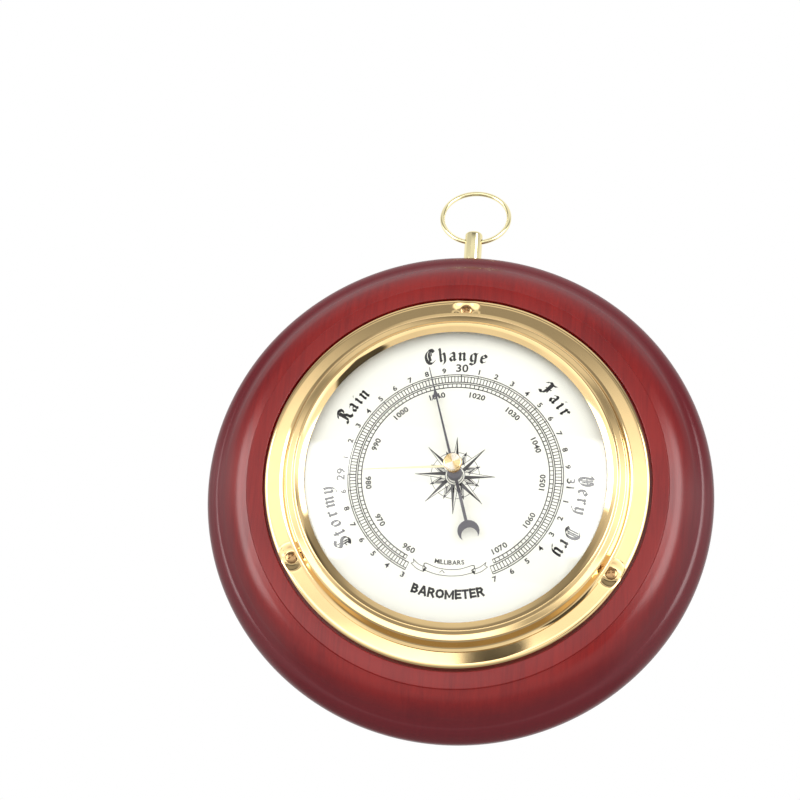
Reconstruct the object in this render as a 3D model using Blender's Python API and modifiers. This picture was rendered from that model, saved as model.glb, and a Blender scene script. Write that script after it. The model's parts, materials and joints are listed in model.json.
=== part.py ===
"""Aneroid barometer for a wall: a brass cased movement set in a turned hardwood mount.

The piece hangs from its ring.  World axes: +X right and +Z up as seen from the front, and the
dial looks along -Y.  The world origin is where a wall hook touches the inside of the ring.

Most pieces are modelled in the face frame, whose origin is the centre of the dial's printed
front: x to the right, y towards 12 o'clock, z out towards the viewer.  Lengths are in metres.
"""

import math

import bmesh
import bpy
from mathutils import Matrix, Vector

MM = 0.001

# ---------------------------------------------------------------- driving dimensions
WOOD_RADIUS = 102.3 * MM          # outermost radius of the turned mount
WOOD_FRONT = -2.4 * MM            # front of the mount, beside the brass flange
WOOD_BACK = -27.5 * MM            # flat back that lies on the wall
WOOD_STEP_RADIUS = 83.8 * MM      # small step between inner band and outer moulding
WOOD_REBATE_RADIUS = 77.2 * MM    # recess that the brass flange drops into
WOOD_REBATE_FLOOR = -5.2 * MM
WOOD_BORE_RADIUS = 66.4 * MM      # through bore that takes the case
RIM_BEAD_RADIUS = 8.0 * MM        # half round of the outer edge
RIM_BEAD_HEIGHT = -18.5 * MM

FLANGE_RADIUS = 76.0 * MM         # six inch flange
FLANGE_FACE = -1.35 * MM
SHEET = 0.9 * MM                  # spun brass
BARREL_RADIUS = 65.0 * MM         # inside of the case barrel
BARREL_BACK = -24.9 * MM

BEZEL_SHEET = 0.6 * MM
BEZEL_OPENING = 59.6 * MM         # inner edge of the lip over the glass
BEZEL_EDGE_HEIGHT = 3.95 * MM

GLASS_APEX = 15.0 * MM
GLASS_SPHERE = 158.3 * MM
GLASS_THICKNESS = 1.5 * MM
GLASS_RADIUS = 62.2 * MM
GLASS_HOLE = 2.2 * MM

DIAL_RADIUS = 64.4 * MM
DIAL_THICKNESS = 0.6 * MM
DIAL_HOLE = 2.0 * MM

STEM_RADIUS = 3.75 * MM
STEM_FOOT = 90.0 * MM             # bottom of the stem's seat in the mount
STEM_TOP = 114.6 * MM
STEM_HEIGHT = RIM_BEAD_HEIGHT     # the stem stands on the middle of the rim
RING_HOLE_Y = 110.6 * MM
RING_HOLE_RADIUS = 1.55 * MM
RING_RADIUS = 14.4 * MM           # to the middle of the wire
RING_WIRE = 1.0 * MM
RING_SAG = 0.25 * MM              # wire's middle below the hole's axis

SCREW_CIRCLE = 71.7 * MM
SCREW_COUNT = 3

POINTER_ANGLE = -16.4             # degrees clockwise from 12 o'clock
POINTER_LENGTH = 46.0 * MM
POINTER_HEIGHT = 2.8 * MM
SET_HAND_ANGLE = -92.0
SET_HAND_LENGTH = 36.2 * MM
SET_HAND_HEIGHT = 12.2 * MM
SET_HAND_DROP = 8.0               # degrees that the hand slopes down to the dial

GAP = 0.3 * MM                    # clearance between pieces that touch

# movement, heights in the face frame
BASE_TOP = -22.3 * MM
BASE_THICKNESS = 1.2 * MM
COVER_INSIDE = -23.8 * MM
COVER_THICKNESS = 0.8 * MM
UPPER_BRIDGE_TOP = -3.6 * MM
UPPER_BRIDGE_THICKNESS = 1.0 * MM
LOWER_BRIDGE_TOP = -8.4 * MM
LOWER_BRIDGE_THICKNESS = 0.8 * MM
PILLAR_Y = 20.0 * MM
CAPSULE_X = -14.0 * MM
CAPSULE_RADIUS = 18.0 * MM
CAPSULE_MIDDLE = -19.4 * MM
SPRING_BEND_X = -46.0 * MM
SPRING_FOOT_HEIGHT = -21.5 * MM   # middle of the leaf's thickness
SPRING_LEAF_HEIGHT = -12.2 * MM
SPRING_SHEET = 0.8 * MM
SPRING_WIDTH = 16.0 * MM
SPRING_SCREW_X = -41.0 * MM
LEVER_HEIGHT = -10.6 * MM         # middle of the lever's thickness
LEVER_THICKNESS = 0.8 * MM
ROCKER_X = 24.5 * MM
ROCKER_HEIGHT = -15.0 * MM
ROCKER_CRANK = 2.1 * MM
LINK_Y = -3.0 * MM
CHAIN_HEIGHT = -6.5 * MM
CHAIN_Y = 1.0 * MM

LARGE_STEPS = 48                  # facets around the case and the mount
MEDIUM_STEPS = 24
SMALL_STEPS = 16


# ---------------------------------------------------------------- scene helpers
def clear_scene():
    for old in list(bpy.data.objects):
        bpy.data.objects.remove(old, do_unlink=True)


def new_collection(name):
    collection = bpy.data.collections.new(name)
    bpy.context.scene.collection.children.link(collection)
    return collection


def new_material(name, colour, roughness, metallic=0.0):
    material = bpy.data.materials.new(name)
    material.use_nodes = True
    shader = material.node_tree.nodes["Principled BSDF"]
    shader.inputs["Base Color"].default_value = (*colour, 1.0)
    shader.inputs["Roughness"].default_value = roughness
    shader.inputs["Metallic"].default_value = metallic
    material.diffuse_color = (*colour, 1.0)
    return material


class Workshop:
    """Holds the collections, the materials and the face frame while the pieces are made."""

    def __init__(self):
        self.parts = new_collection("aneroid_barometer")
        self.cutters = new_collection("cutters")
        self.wood = new_material("mahogany", (0.26, 0.035, 0.03), 0.3)
        self.brass = new_material("polished_brass", (0.87, 0.66, 0.28), 0.12, 1.0)
        self.turned_brass = new_material("turned_brass", (0.85, 0.66, 0.32), 0.3, 1.0)
        self.steel = new_material("steel", (0.5, 0.5, 0.52), 0.35, 1.0)
        self.blued = new_material("black_enamel", (0.02, 0.02, 0.022), 0.35)
        self.dial = new_material("ivory_dial", (0.95, 0.92, 0.84), 0.5)
        self.clear = new_material("clear_glass", (0.95, 0.97, 0.96), 0.03)
        self.rubber = new_material("rubber", (0.05, 0.05, 0.05), 0.8)
        self.nickel = new_material("nickel", (0.7, 0.69, 0.66), 0.25, 1.0)
        self.face = self.empty("face", face_origin(), Matrix.Rotation(math.pi / 2, 4, "X"))

    def empty(self, name, location, turn):
        marker = bpy.data.objects.new(name, None)
        marker.matrix_world = Matrix.Translation(location) @ turn
        self.parts.objects.link(marker)
        return marker

    def place(self, name, data, material, location=(0, 0, 0), turn=(0, 0, 0)):
        """Add a piece under the face frame, at a place and rotation given in that frame."""
        piece = bpy.data.objects.new(name, data)
        data.materials.append(material)
        self.parts.objects.link(piece)
        piece.parent = self.face
        piece.location = location
        piece.rotation_euler = turn
        return piece

    def cutter(self, name, data, location=(0, 0, 0), turn=(0, 0, 0)):
        tool = bpy.data.objects.new(name, data)
        self.cutters.objects.link(tool)
        tool.parent = self.face
        tool.location = location
        tool.rotation_euler = turn
        tool.hide_render = True
        tool.display_type = "WIRE"
        return tool


def face_origin():
    """World place of the dial's centre, from the ring's rest pose."""
    lean = ring_lean()
    reach = 2 * RING_RADIUS - RING_SAG - RING_WIRE
    hook_from_hole = Vector((0, reach * math.sin(lean), reach * math.cos(lean)))
    hole_from_dial = Vector((0, -STEM_HEIGHT, RING_HOLE_Y))
    return -(hole_from_dial + hook_from_hole)


def ring_lean():
    """Angle at which the ring's far end comes level with the mount's back."""
    room = STEM_HEIGHT - WOOD_BACK - RING_WIRE
    return math.asin(room / (2 * RING_RADIUS - RING_SAG))


# ---------------------------------------------------------------- shape helpers
def profile_mesh(name, points, closed):
    """Mesh of edges through (radius, height) points in the XZ plane."""
    mesh = bpy.data.meshes.new(name)
    edges = [(i, i + 1) for i in range(len(points) - 1)]
    if closed:
        edges.append((len(points) - 1, 0))
    mesh.from_pydata([(r, 0, h) for r, h in points], edges, [])
    return mesh


def add_screw(piece, steps):
    spin = piece.modifiers.new("turn", "SCREW")
    spin.axis = "Z"
    spin.angle = 2 * math.pi
    spin.steps = steps
    spin.render_steps = steps
    spin.use_merge_vertices = True
    spin.merge_threshold = 0.00001
    spin.use_smooth_shade = True


def turned(shop, name, points, material, steps=SMALL_STEPS, location=(0, 0, 0), turn=(0, 0, 0)):
    """Solid turned from a profile that runs down its outer side."""
    closed = points[0][0] > 0
    piece = shop.place(name, profile_mesh(name, points, closed), material, location, turn)
    add_screw(piece, steps)
    return piece


def turned_sheet(shop, name, points, thickness, material, steps=LARGE_STEPS):
    """Spun sheet: an open profile along the outside, thickened behind it."""
    piece = shop.place(name, profile_mesh(name, points, False), material)
    add_screw(piece, steps)
    wall = piece.modifiers.new("wall", "SOLIDIFY")
    wall.thickness = thickness
    wall.offset = -1
    wall.use_even_offset = True
    return piece


def turned_cutter(shop, name, points, steps=SMALL_STEPS, location=(0, 0, 0), turn=(0, 0, 0)):
    tool = shop.cutter(name, profile_mesh(name, points, False), location, turn)
    add_screw(tool, steps)
    return tool


def rod(radius, bottom, top):
    """Profile of a plain cylinder."""
    return [(0, top), (radius, top), (radius, bottom), (0, bottom)]


def box_mesh(name, size):
    mesh = bpy.data.meshes.new(name)
    shape = bmesh.new()
    bmesh.ops.create_cube(shape, size=1.0)
    bmesh.ops.scale(shape, vec=size, verts=shape.verts)
    shape.to_mesh(mesh)
    shape.free()
    return mesh


def boolean(piece, tool, operation="DIFFERENCE"):
    cut = piece.modifiers.new(tool.name, "BOOLEAN")
    cut.operation = operation
    cut.object = tool
    cut.solver = "EXACT"


def arc(centre, radius, start, end, count):
    """Points on an arc, angles in degrees, both ends included."""
    turns = [math.radians(start + (end - start) * i / (count - 1)) for i in range(count)]
    return [(centre[0] + radius * math.cos(a), centre[1] + radius * math.sin(a)) for a in turns]


def circle(centre, radius, count=SMALL_STEPS):
    return arc(centre, radius, 0, 360, count + 1)[:-1]


def rounded_rectangle(x0, x1, y0, y1, radius, count=4):
    corners = (((x1 - radius, y1 - radius), 0), ((x0 + radius, y1 - radius), 90),
               ((x0 + radius, y0 + radius), 180), ((x1 - radius, y0 + radius), 270))
    points = []
    for centre, start in corners:
        points += arc(centre, radius, start, start + 90, count)
    return points


def plate(shop, name, outline, holes, height, thickness, material, location=(0, 0), turn=0.0):
    """Flat plate cut from sheet, with its holes, centred on a height of the face frame."""
    data = bpy.data.curves.new(name, "CURVE")
    data.dimensions = "2D"
    data.fill_mode = "BOTH"
    data.extrude = thickness / 2
    data.resolution_u = 1
    data.render_resolution_u = 0
    for points in [outline] + holes:
        spline = data.splines.new("POLY")
        spline.points.add(len(points) - 1)
        for point, (x, y) in zip(spline.points, points):
            point.co = (x, y, 0, 1)
        spline.use_cyclic_u = True
    return shop.place(name, data, material, (*location, height), (0, 0, turn))


def strip(shop, name, path, width, thickness, material, turn=0.0, location=(0, 0, 0)):
    """Bent leaf: a path in the XZ plane, as wide as given along Y, thickened about the path."""
    mesh = bpy.data.meshes.new(name)
    shape = bmesh.new()
    near = [shape.verts.new((x, -width / 2, z)) for x, z in path]
    edges = [shape.edges.new(pair) for pair in zip(near, near[1:])]
    sweep = bmesh.ops.extrude_edge_only(shape, edges=edges)
    moved = [item for item in sweep["geom"] if isinstance(item, bmesh.types.BMVert)]
    bmesh.ops.translate(shape, vec=(0, width, 0), verts=moved)
    bmesh.ops.recalc_face_normals(shape, faces=shape.faces)
    shape.to_mesh(mesh)
    shape.free()
    piece = shop.place(name, mesh, material, location, (0, 0, turn))
    leaf = piece.modifiers.new("leaf", "SOLIDIFY")
    leaf.thickness = thickness
    leaf.offset = 0
    leaf.use_even_offset = True
    return piece


# ---------------------------------------------------------------- hardwood mount
def make_wood(shop):
    bead = (WOOD_RADIUS - RIM_BEAD_RADIUS, RIM_BEAD_HEIGHT)
    profile = [(WOOD_REBATE_RADIUS, WOOD_FRONT),
               (WOOD_STEP_RADIUS - 0.3 * MM, WOOD_FRONT - 0.2 * MM),
               (WOOD_STEP_RADIUS, WOOD_FRONT - 0.8 * MM),
               (87.6 * MM, -4.1 * MM),
               (91.0 * MM, -6.0 * MM),
               (93.8 * MM, -8.5 * MM)]
    profile += arc(bead, RIM_BEAD_RADIUS, 75, -75, 7)
    profile += [(94.6 * MM, WOOD_BACK),
                (WOOD_BORE_RADIUS, WOOD_BACK),
                (WOOD_BORE_RADIUS, WOOD_REBATE_FLOOR),
                (WOOD_REBATE_RADIUS, WOOD_REBATE_FLOOR)]
    wood = turned(shop, "wood_mount", profile, shop.wood, LARGE_STEPS)
    seat = turned_cutter(shop, "stem_seat", rod(STEM_RADIUS + GAP, STEM_FOOT - GAP, WOOD_RADIUS + 5 * MM),
                         location=(0, 0, STEM_HEIGHT), turn=(-math.pi / 2, 0, 0))
    boolean(wood, seat)
    for number, (x, y) in enumerate(screw_places(), 1):
        pilot = turned_cutter(shop, f"pilot_hole_{number}", rod(1.7 * MM, -15.5 * MM, -4.5 * MM),
                              location=(x, y, 0))
        boolean(wood, pilot)


def screw_places():
    for i in range(SCREW_COUNT):
        angle = 2 * math.pi * i / SCREW_COUNT
        yield SCREW_CIRCLE * math.sin(angle), SCREW_CIRCLE * math.cos(angle)


def make_flange_screws(shop):
    head_top = FLANGE_FACE + 0.25 * MM
    head = [(0, head_top), (1.4 * MM, head_top - 0.08 * MM), (2.35 * MM, head_top - 0.35 * MM),
            (1.3 * MM, head_top - 1.5 * MM), (1.3 * MM, -13.5 * MM), (0, -15.0 * MM)]
    slot = box_mesh("cross_slot", (0.55 * MM, 2.6 * MM, 1.2 * MM))
    for number, (x, y) in enumerate(screw_places(), 1):
        screw = turned(shop, f"flange_screw_{number}", head, shop.brass, location=(x, y, 0))
        for arm in range(2):
            tool = shop.cutter(f"cross_{number}_{arm}", slot, (x, y, head_top), (0, 0, arm * math.pi / 2))
            boolean(screw, tool)


def make_hanging_stem(shop):
    top_round = arc((STEM_RADIUS - 1.2 * MM, STEM_TOP - 1.2 * MM), 1.2 * MM, 90, 0, 4)
    profile = [(0, STEM_TOP)] + top_round + [(STEM_RADIUS, STEM_FOOT), (0, STEM_FOOT)]
    stem = turned(shop, "hanging_stem", profile, shop.brass, 24,
                  location=(0, 0, STEM_HEIGHT), turn=(-math.pi / 2, 0, 0))
    bore = turned_cutter(shop, "ring_bore", rod(RING_HOLE_RADIUS, -6 * MM, 6 * MM),
                         location=(0, RING_HOLE_Y, STEM_HEIGHT), turn=(0, math.pi / 2, 0))
    boolean(stem, bore)


def make_hanging_ring(shop):
    lean = ring_lean()
    hinge = shop.empty("ring_hinge", face_origin() + Vector((0, -STEM_HEIGHT, RING_HOLE_Y)),
                       Matrix.Rotation(-lean, 4, "X"))
    bpy.ops.mesh.primitive_torus_add(major_radius=RING_RADIUS, minor_radius=RING_WIRE,
                                     major_segments=40, minor_segments=8)
    ring = bpy.context.object
    ring.name = "hanging_ring"
    ring.data.transform(Matrix.Translation((0, 0, RING_RADIUS - RING_SAG)) @ Matrix.Rotation(math.pi / 2, 4, "X"))
    ring.data.materials.append(shop.brass)
    for owner in list(ring.users_collection):
        owner.objects.unlink(ring)
    shop.parts.objects.link(ring)
    ring.parent = hinge
    ring.location = (0, 0, 0)


# ---------------------------------------------------------------- brass case and glass
def make_case(shop):
    edge_round = arc((FLANGE_RADIUS - 1.4 * MM, FLANGE_FACE - 1.9 * MM), 1.4 * MM, 75, 0, 3)
    profile = [(BARREL_RADIUS, BARREL_BACK),
               (BARREL_RADIUS, FLANGE_FACE - 0.8 * MM),
               (BARREL_RADIUS + 0.8 * MM, FLANGE_FACE),
               (70.5 * MM, FLANGE_FACE)]
    profile += edge_round + [(FLANGE_RADIUS, WOOD_REBATE_FLOOR + GAP)]
    case = turned_sheet(shop, "flanged_case", profile, SHEET, shop.brass)
    sink = [(0, FLANGE_FACE + 0.6 * MM), (3.2 * MM, FLANGE_FACE + 0.6 * MM),
            (1.75 * MM, FLANGE_FACE - 1.2 * MM), (1.75 * MM, FLANGE_FACE - 2 * MM),
            (0, FLANGE_FACE - 2 * MM)]
    for number, (x, y) in enumerate(screw_places(), 1):
        boolean(case, turned_cutter(shop, f"countersink_{number}", sink, location=(x, y, 0)))


def make_bezel(shop):
    edge = BEZEL_EDGE_HEIGHT
    profile = [(BEZEL_OPENING, edge),
               (61.6 * MM, edge + 0.85 * MM),
               (63.15 * MM, edge + 1.35 * MM),
               (64.25 * MM, 4.25 * MM),
               (66.5 * MM, 4.2 * MM),
               (67.1 * MM, 3.7 * MM),
               (68.5 * MM, -0.1 * MM),
               (69.9 * MM, -0.45 * MM)]
    turned_sheet(shop, "bezel_ring", profile, BEZEL_SHEET, shop.brass)


def sphere_height(radius, sphere):
    centre = GLASS_APEX - GLASS_SPHERE
    return centre + math.sqrt(sphere * sphere - radius * radius)


def make_glass(shop):
    stations = 6
    reach = [GLASS_HOLE + (GLASS_RADIUS - GLASS_HOLE) * i / (stations - 1) for i in range(stations)]
    outside = [(r, sphere_height(r, GLASS_SPHERE)) for r in reach]
    inside = [(r, sphere_height(r, GLASS_SPHERE - GLASS_THICKNESS)) for r in reach[::-1]]
    turned(shop, "glass", outside + inside, shop.clear, LARGE_STEPS)


def make_gasket(shop):
    low = 0.25 * MM
    profile = [(62.6 * MM, 2.6 * MM), (64.6 * MM, 2.6 * MM), (64.6 * MM, low), (61.4 * MM, low),
               (61.4 * MM, 0.5 * MM), (62.6 * MM, 0.5 * MM)]
    turned(shop, "glass_gasket", profile, shop.rubber, LARGE_STEPS)


def make_dial(shop):
    profile = [(DIAL_HOLE, 0), (DIAL_RADIUS, 0), (DIAL_RADIUS, -DIAL_THICKNESS), (DIAL_HOLE, -DIAL_THICKNESS)]
    turned(shop, "dial_plate", profile, shop.dial, LARGE_STEPS)
    top = -DIAL_THICKNESS - GAP
    seat = [(61.5 * MM, top), (64.7 * MM, top), (64.7 * MM, top - 1.2 * MM), (61.5 * MM, top - 1.2 * MM)]
    turned(shop, "dial_seat_ring", seat, shop.brass, LARGE_STEPS)


def make_back_cover(shop):
    back = COVER_INSIDE - COVER_THICKNESS
    outer = BARREL_RADIUS - GAP
    profile = [(0, COVER_INSIDE), (outer - 0.8 * MM, COVER_INSIDE), (outer - 0.8 * MM, COVER_INSIDE + 3 * MM),
               (outer, COVER_INSIDE + 3 * MM), (outer, back), (0, back)]
    cover = turned(shop, "back_cover", profile, shop.brass, LARGE_STEPS)
    drill = rod(3.2 * MM, back - 1 * MM, COVER_INSIDE + 1 * MM)
    boolean(cover, turned_cutter(shop, "adjusting_hole", drill, location=(SPRING_SCREW_X, 0, 0)))
    drill = rod(1.5 * MM, back - 1 * MM, COVER_INSIDE + 1 * MM)
    for side, y in (("top", PILLAR_Y), ("bottom", -PILLAR_Y)):
        boolean(cover, turned_cutter(shop, f"cover_hole_{side}", drill, location=(0, y, 0)))


# ---------------------------------------------------------------- hands
def make_pointer(shop):
    """Spade tipped pointer with a crescent tail, on its hub and arbor."""
    moon = 24.0 * MM
    moon_radius = 4.3 * MM
    bite_shift = 1.9 * MM
    bite_radius = 3.25 * MM
    horn_y = (moon_radius ** 2 - bite_radius ** 2 + bite_shift ** 2) / (2 * bite_shift)
    horn_x = math.sqrt(moon_radius ** 2 - horn_y ** 2)
    half = 0.6 * MM
    start = math.degrees(math.asin(half / moon_radius))
    outer_end = -math.degrees(math.atan2(horn_y, horn_x))
    inner_end = -math.degrees(math.atan2(horn_y - bite_shift, horn_x))
    right = [(0, POINTER_LENGTH), (0.22 * MM, 36.4 * MM), (0.75 * MM, 34.4 * MM), (2.1 * MM, 31.9 * MM),
             (0.4 * MM, 33.1 * MM), (0.3 * MM, 32.2 * MM), (0.55 * MM, 3.4 * MM)]
    right += arc((0, 0), 3.0 * MM, 78, -78, 9)
    right += [(half, -4.5 * MM)]
    right += arc((0, -moon), moon_radius, 90 - start, outer_end, 8)
    inner = arc((0, -moon - bite_shift), bite_radius, inner_end, 180 - inner_end, 11)[1:-1]
    left = [(-x, y) for x, y in right[:0:-1]]
    outline = right + inner + left
    turn = -math.radians(POINTER_ANGLE)
    plate(shop, "pointer", outline, [circle((0, 0), 1.0 * MM, 12)], POINTER_HEIGHT, 0.4 * MM, shop.blued, turn=turn)
    low = POINTER_HEIGHT + 0.2 * MM + 0.1 * MM
    hub = [(0, 4.4 * MM), (2.2 * MM, 4.4 * MM), (2.75 * MM, 3.9 * MM), (2.75 * MM, low), (0, low)]
    turned(shop, "pointer_hub", hub, shop.blued, 24)
    arbor = [(0, 2.7 * MM), (0.6 * MM, 2.7 * MM), (0.7 * MM, -0.4 * MM), (0.8 * MM, -0.8 * MM),
             (1.7 * MM, -0.8 * MM), (1.7 * MM, -3.0 * MM), (0.8 * MM, -3.0 * MM), (0.8 * MM, -5.4 * MM),
             (1.7 * MM, -5.4 * MM), (1.7 * MM, -5.9 * MM), (0.7 * MM, -5.9 * MM), (0.7 * MM, -7.1 * MM),
             (1.7 * MM, -7.1 * MM), (1.7 * MM, -7.6 * MM), (0.6 * MM, -7.6 * MM), (0.6 * MM, -9.0 * MM),
             (0, -9.0 * MM)]
    turned(shop, "pointer_arbor", arbor, shop.steel)


def make_set_hand(shop):
    """Brass reading hand under the glass, its spindle through the glass, and the knob outside."""
    tip = SET_HAND_LENGTH
    outline = [(0.1 * MM, tip), (0.5 * MM, 3.0 * MM)] + arc((0, 0), 2.2 * MM, 75, -255, 13)
    outline += [(-0.5 * MM, 3.0 * MM), (-0.1 * MM, tip)]
    hand = plate(shop, "set_hand", outline, [circle((0, 0), 1.2 * MM, 12)], SET_HAND_HEIGHT, 0.3 * MM, shop.brass)
    slope = Matrix.Rotation(-math.radians(SET_HAND_DROP), 4, "X")
    hand.rotation_euler = (Matrix.Rotation(-math.radians(SET_HAND_ANGLE), 4, "Z") @ slope).to_euler()
    spindle = [(0, 16.9 * MM), (0.8 * MM, 16.9 * MM), (0.8 * MM, 11.5 * MM), (1.5 * MM, 11.5 * MM),
               (1.5 * MM, 10.9 * MM), (0, 10.9 * MM)]
    turned(shop, "set_spindle", spindle, shop.turned_brass)
    knob = [(0, 18.1 * MM), (3.2 * MM, 18.1 * MM), (3.6 * MM, 17.8 * MM), (3.6 * MM, 15.9 * MM),
            (3.3 * MM, 15.6 * MM), (1.1 * MM, 15.6 * MM), (1.1 * MM, 17.2 * MM), (0, 17.2 * MM)]
    turned(shop, "set_knob", knob, shop.turned_brass, 24)
    bush = [(1.1 * MM, 15.3 * MM), (1.9 * MM, 15.3 * MM), (1.9 * MM, 12.9 * MM), (1.1 * MM, 12.9 * MM)]
    turned(shop, "glass_bush", bush, shop.turned_brass)
    nut = [(2.2 * MM, 13.2 * MM), (3.0 * MM, 13.2 * MM), (3.0 * MM, 12.9 * MM), (2.2 * MM, 12.9 * MM)]
    turned(shop, "glass_bush_nut", nut, shop.turned_brass)


# ---------------------------------------------------------------- movement frame
def make_base(shop):
    outline = rounded_rectangle(-52 * MM, 32 * MM, -25 * MM, 25 * MM, 6 * MM)
    holes = [circle((0, PILLAR_Y), 1.5 * MM, 12), circle((0, -PILLAR_Y), 1.5 * MM, 12),
             circle((SPRING_SCREW_X, 0), 2.7 * MM), circle((SPRING_SCREW_X, 5.5 * MM), 1.3 * MM, 12),
             circle((SPRING_SCREW_X, -5.5 * MM), 1.3 * MM, 12), circle((CAPSULE_X, 0), 2.8 * MM)]
    plate(shop, "movement_base", outline, holes, BASE_TOP - BASE_THICKNESS / 2, BASE_THICKNESS, shop.nickel)


def make_pillars(shop):
    """Two pillars carry the bridges; spacers part the bridges, and screws hold each stack."""
    bore = 1.35 * MM
    pillar_top = LOWER_BRIDGE_TOP - LOWER_BRIDGE_THICKNESS - GAP
    pillar_low = BASE_TOP + GAP
    low_bore = pillar_low + 2.6 * MM
    pillar = [(0, pillar_top - 4 * MM), (bore, pillar_top - 4 * MM), (bore, pillar_top), (2.4 * MM, pillar_top),
              (2.4 * MM, pillar_low), (bore, pillar_low), (bore, low_bore), (0, low_bore)]
    spacer_top = UPPER_BRIDGE_TOP - UPPER_BRIDGE_THICKNESS - GAP
    spacer_low = LOWER_BRIDGE_TOP + GAP
    spacer = [(bore, spacer_top), (2.4 * MM, spacer_top), (2.4 * MM, spacer_low), (bore, spacer_low)]
    head = UPPER_BRIDGE_TOP + GAP
    bridge_screw = [(0, head + 0.9 * MM), (1.7 * MM, head + 0.9 * MM), (2.0 * MM, head + 0.6 * MM), (2.0 * MM, head),
                    (1.0 * MM, head), (1.0 * MM, pillar_top - 3.5 * MM), (0, pillar_top - 3.5 * MM)]
    back = COVER_INSIDE - COVER_THICKNESS - GAP
    movement_screw = [(0, low_bore - GAP), (1.05 * MM, low_bore - GAP), (1.05 * MM, back), (2.3 * MM, back),
                      (2.3 * MM, back - 0.7 * MM), (2.0 * MM, back - 1.0 * MM), (0, back - 1.0 * MM)]
    slot = box_mesh("screw_slot", (5.0 * MM, 0.6 * MM, 0.9 * MM))
    for side, y in (("top", PILLAR_Y), ("bottom", -PILLAR_Y)):
        place = (0, y, 0)
        turned(shop, f"pillar_{side}", pillar, shop.turned_brass, location=place)
        turned(shop, f"bridge_spacer_{side}", spacer, shop.turned_brass, location=place)
        turned(shop, f"bridge_screw_{side}", bridge_screw, shop.steel, location=place)
        screw = turned(shop, f"movement_screw_{side}", movement_screw, shop.steel, location=place)
        boolean(screw, shop.cutter(f"movement_slot_{side}", slot, (0, y, back - 1.0 * MM)))


def make_bridges(shop):
    hole = 1.35 * MM
    ends = [circle((0, PILLAR_Y), hole, 12), circle((0, -PILLAR_Y), hole, 12)]
    outline = rounded_rectangle(-4.5 * MM, 4.5 * MM, -25 * MM, 25 * MM, 4 * MM)
    middle = UPPER_BRIDGE_TOP - UPPER_BRIDGE_THICKNESS / 2
    plate(shop, "upper_bridge", outline, ends + [circle((0, 0), 1.1 * MM, 12)], middle,
          UPPER_BRIDGE_THICKNESS, shop.turned_brass)
    middle = LOWER_BRIDGE_TOP - LOWER_BRIDGE_THICKNESS / 2
    plate(shop, "lower_bridge", outline, ends + [circle((0, 0), 0.9 * MM, 12)], middle,
          LOWER_BRIDGE_THICKNESS, shop.turned_brass)


# ---------------------------------------------------------------- pressure train
def capsule_profile(direction):
    """Corrugated diaphragm from rim to boss, height measured from the capsule's middle."""
    rings = 4
    inner = 4.0 * MM
    outer = CAPSULE_RADIUS - 1.5 * MM
    points = [(CAPSULE_RADIUS, 0.75 * MM)]
    for i in range(2 * rings):
        radius = outer - (outer - inner) * i / (2 * rings - 1)
        wave = 0.25 * MM if i % 2 else -0.25 * MM
        points.append((radius, 1.6 * MM + wave))
    points += [(3.2 * MM, 2.4 * MM), (0, 2.4 * MM)]
    return [(r, CAPSULE_MIDDLE + direction * h) for r, h in points]


def make_capsule(shop):
    upper = capsule_profile(1)[::-1]
    lower = capsule_profile(-1)
    for name, points in (("capsule_upper", upper), ("capsule_lower", lower)):
        piece = shop.place(name, profile_mesh(name, points, False), shop.nickel, (CAPSULE_X, 0, 0))
        add_screw(piece, MEDIUM_STEPS)
        wall = piece.modifiers.new("diaphragm", "SOLIDIFY")
        wall.thickness = 0.3 * MM
        wall.offset = -1
        wall.use_even_offset = True
    post = rod(1.6 * MM, CAPSULE_MIDDLE + 2.4 * MM + GAP, SPRING_LEAF_HEIGHT - SPRING_SHEET / 2 - 0.5 * MM)
    turned(shop, "capsule_post", post, shop.steel, location=(CAPSULE_X, 0, 0))


def make_main_spring(shop):
    """C shaped main spring: foot on the base, leaf over the capsule."""
    middle = (SPRING_FOOT_HEIGHT + SPRING_LEAF_HEIGHT) / 2
    radius = (SPRING_LEAF_HEIGHT - SPRING_FOOT_HEIGHT) / 2
    path = [(-36.0 * MM, SPRING_FOOT_HEIGHT)]
    path += arc((SPRING_BEND_X, middle), radius, 270, 90, 9)
    path += [(-11.5 * MM, SPRING_LEAF_HEIGHT)]
    spring = strip(shop, "main_spring", path, SPRING_WIDTH, SPRING_SHEET, shop.steel)
    drill = rod(1.3 * MM, SPRING_FOOT_HEIGHT - 2 * MM, SPRING_FOOT_HEIGHT + 2 * MM)
    head = SPRING_FOOT_HEIGHT + SPRING_SHEET / 2 + GAP
    low = BASE_TOP - BASE_THICKNESS + 0.1 * MM
    screw = [(0, head + 1.0 * MM), (1.8 * MM, head + 1.0 * MM), (2.0 * MM, head + 0.8 * MM), (2.0 * MM, head),
             (1.0 * MM, head), (1.0 * MM, low), (0, low)]
    for number, y in enumerate((5.5 * MM, -5.5 * MM), 1):
        boolean(spring, turned_cutter(shop, f"spring_hole_{number}", drill, location=(SPRING_SCREW_X, y, 0)))
        turned(shop, f"spring_screw_{number}", screw, shop.steel, location=(SPRING_SCREW_X, y, 0))
    drill = rod(1.1 * MM, SPRING_LEAF_HEIGHT - 2 * MM, SPRING_LEAF_HEIGHT + 1 * MM)
    boolean(spring, turned_cutter(shop, "lever_screw_hole", drill, location=(CAPSULE_X, 5.0 * MM, 0)))


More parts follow.
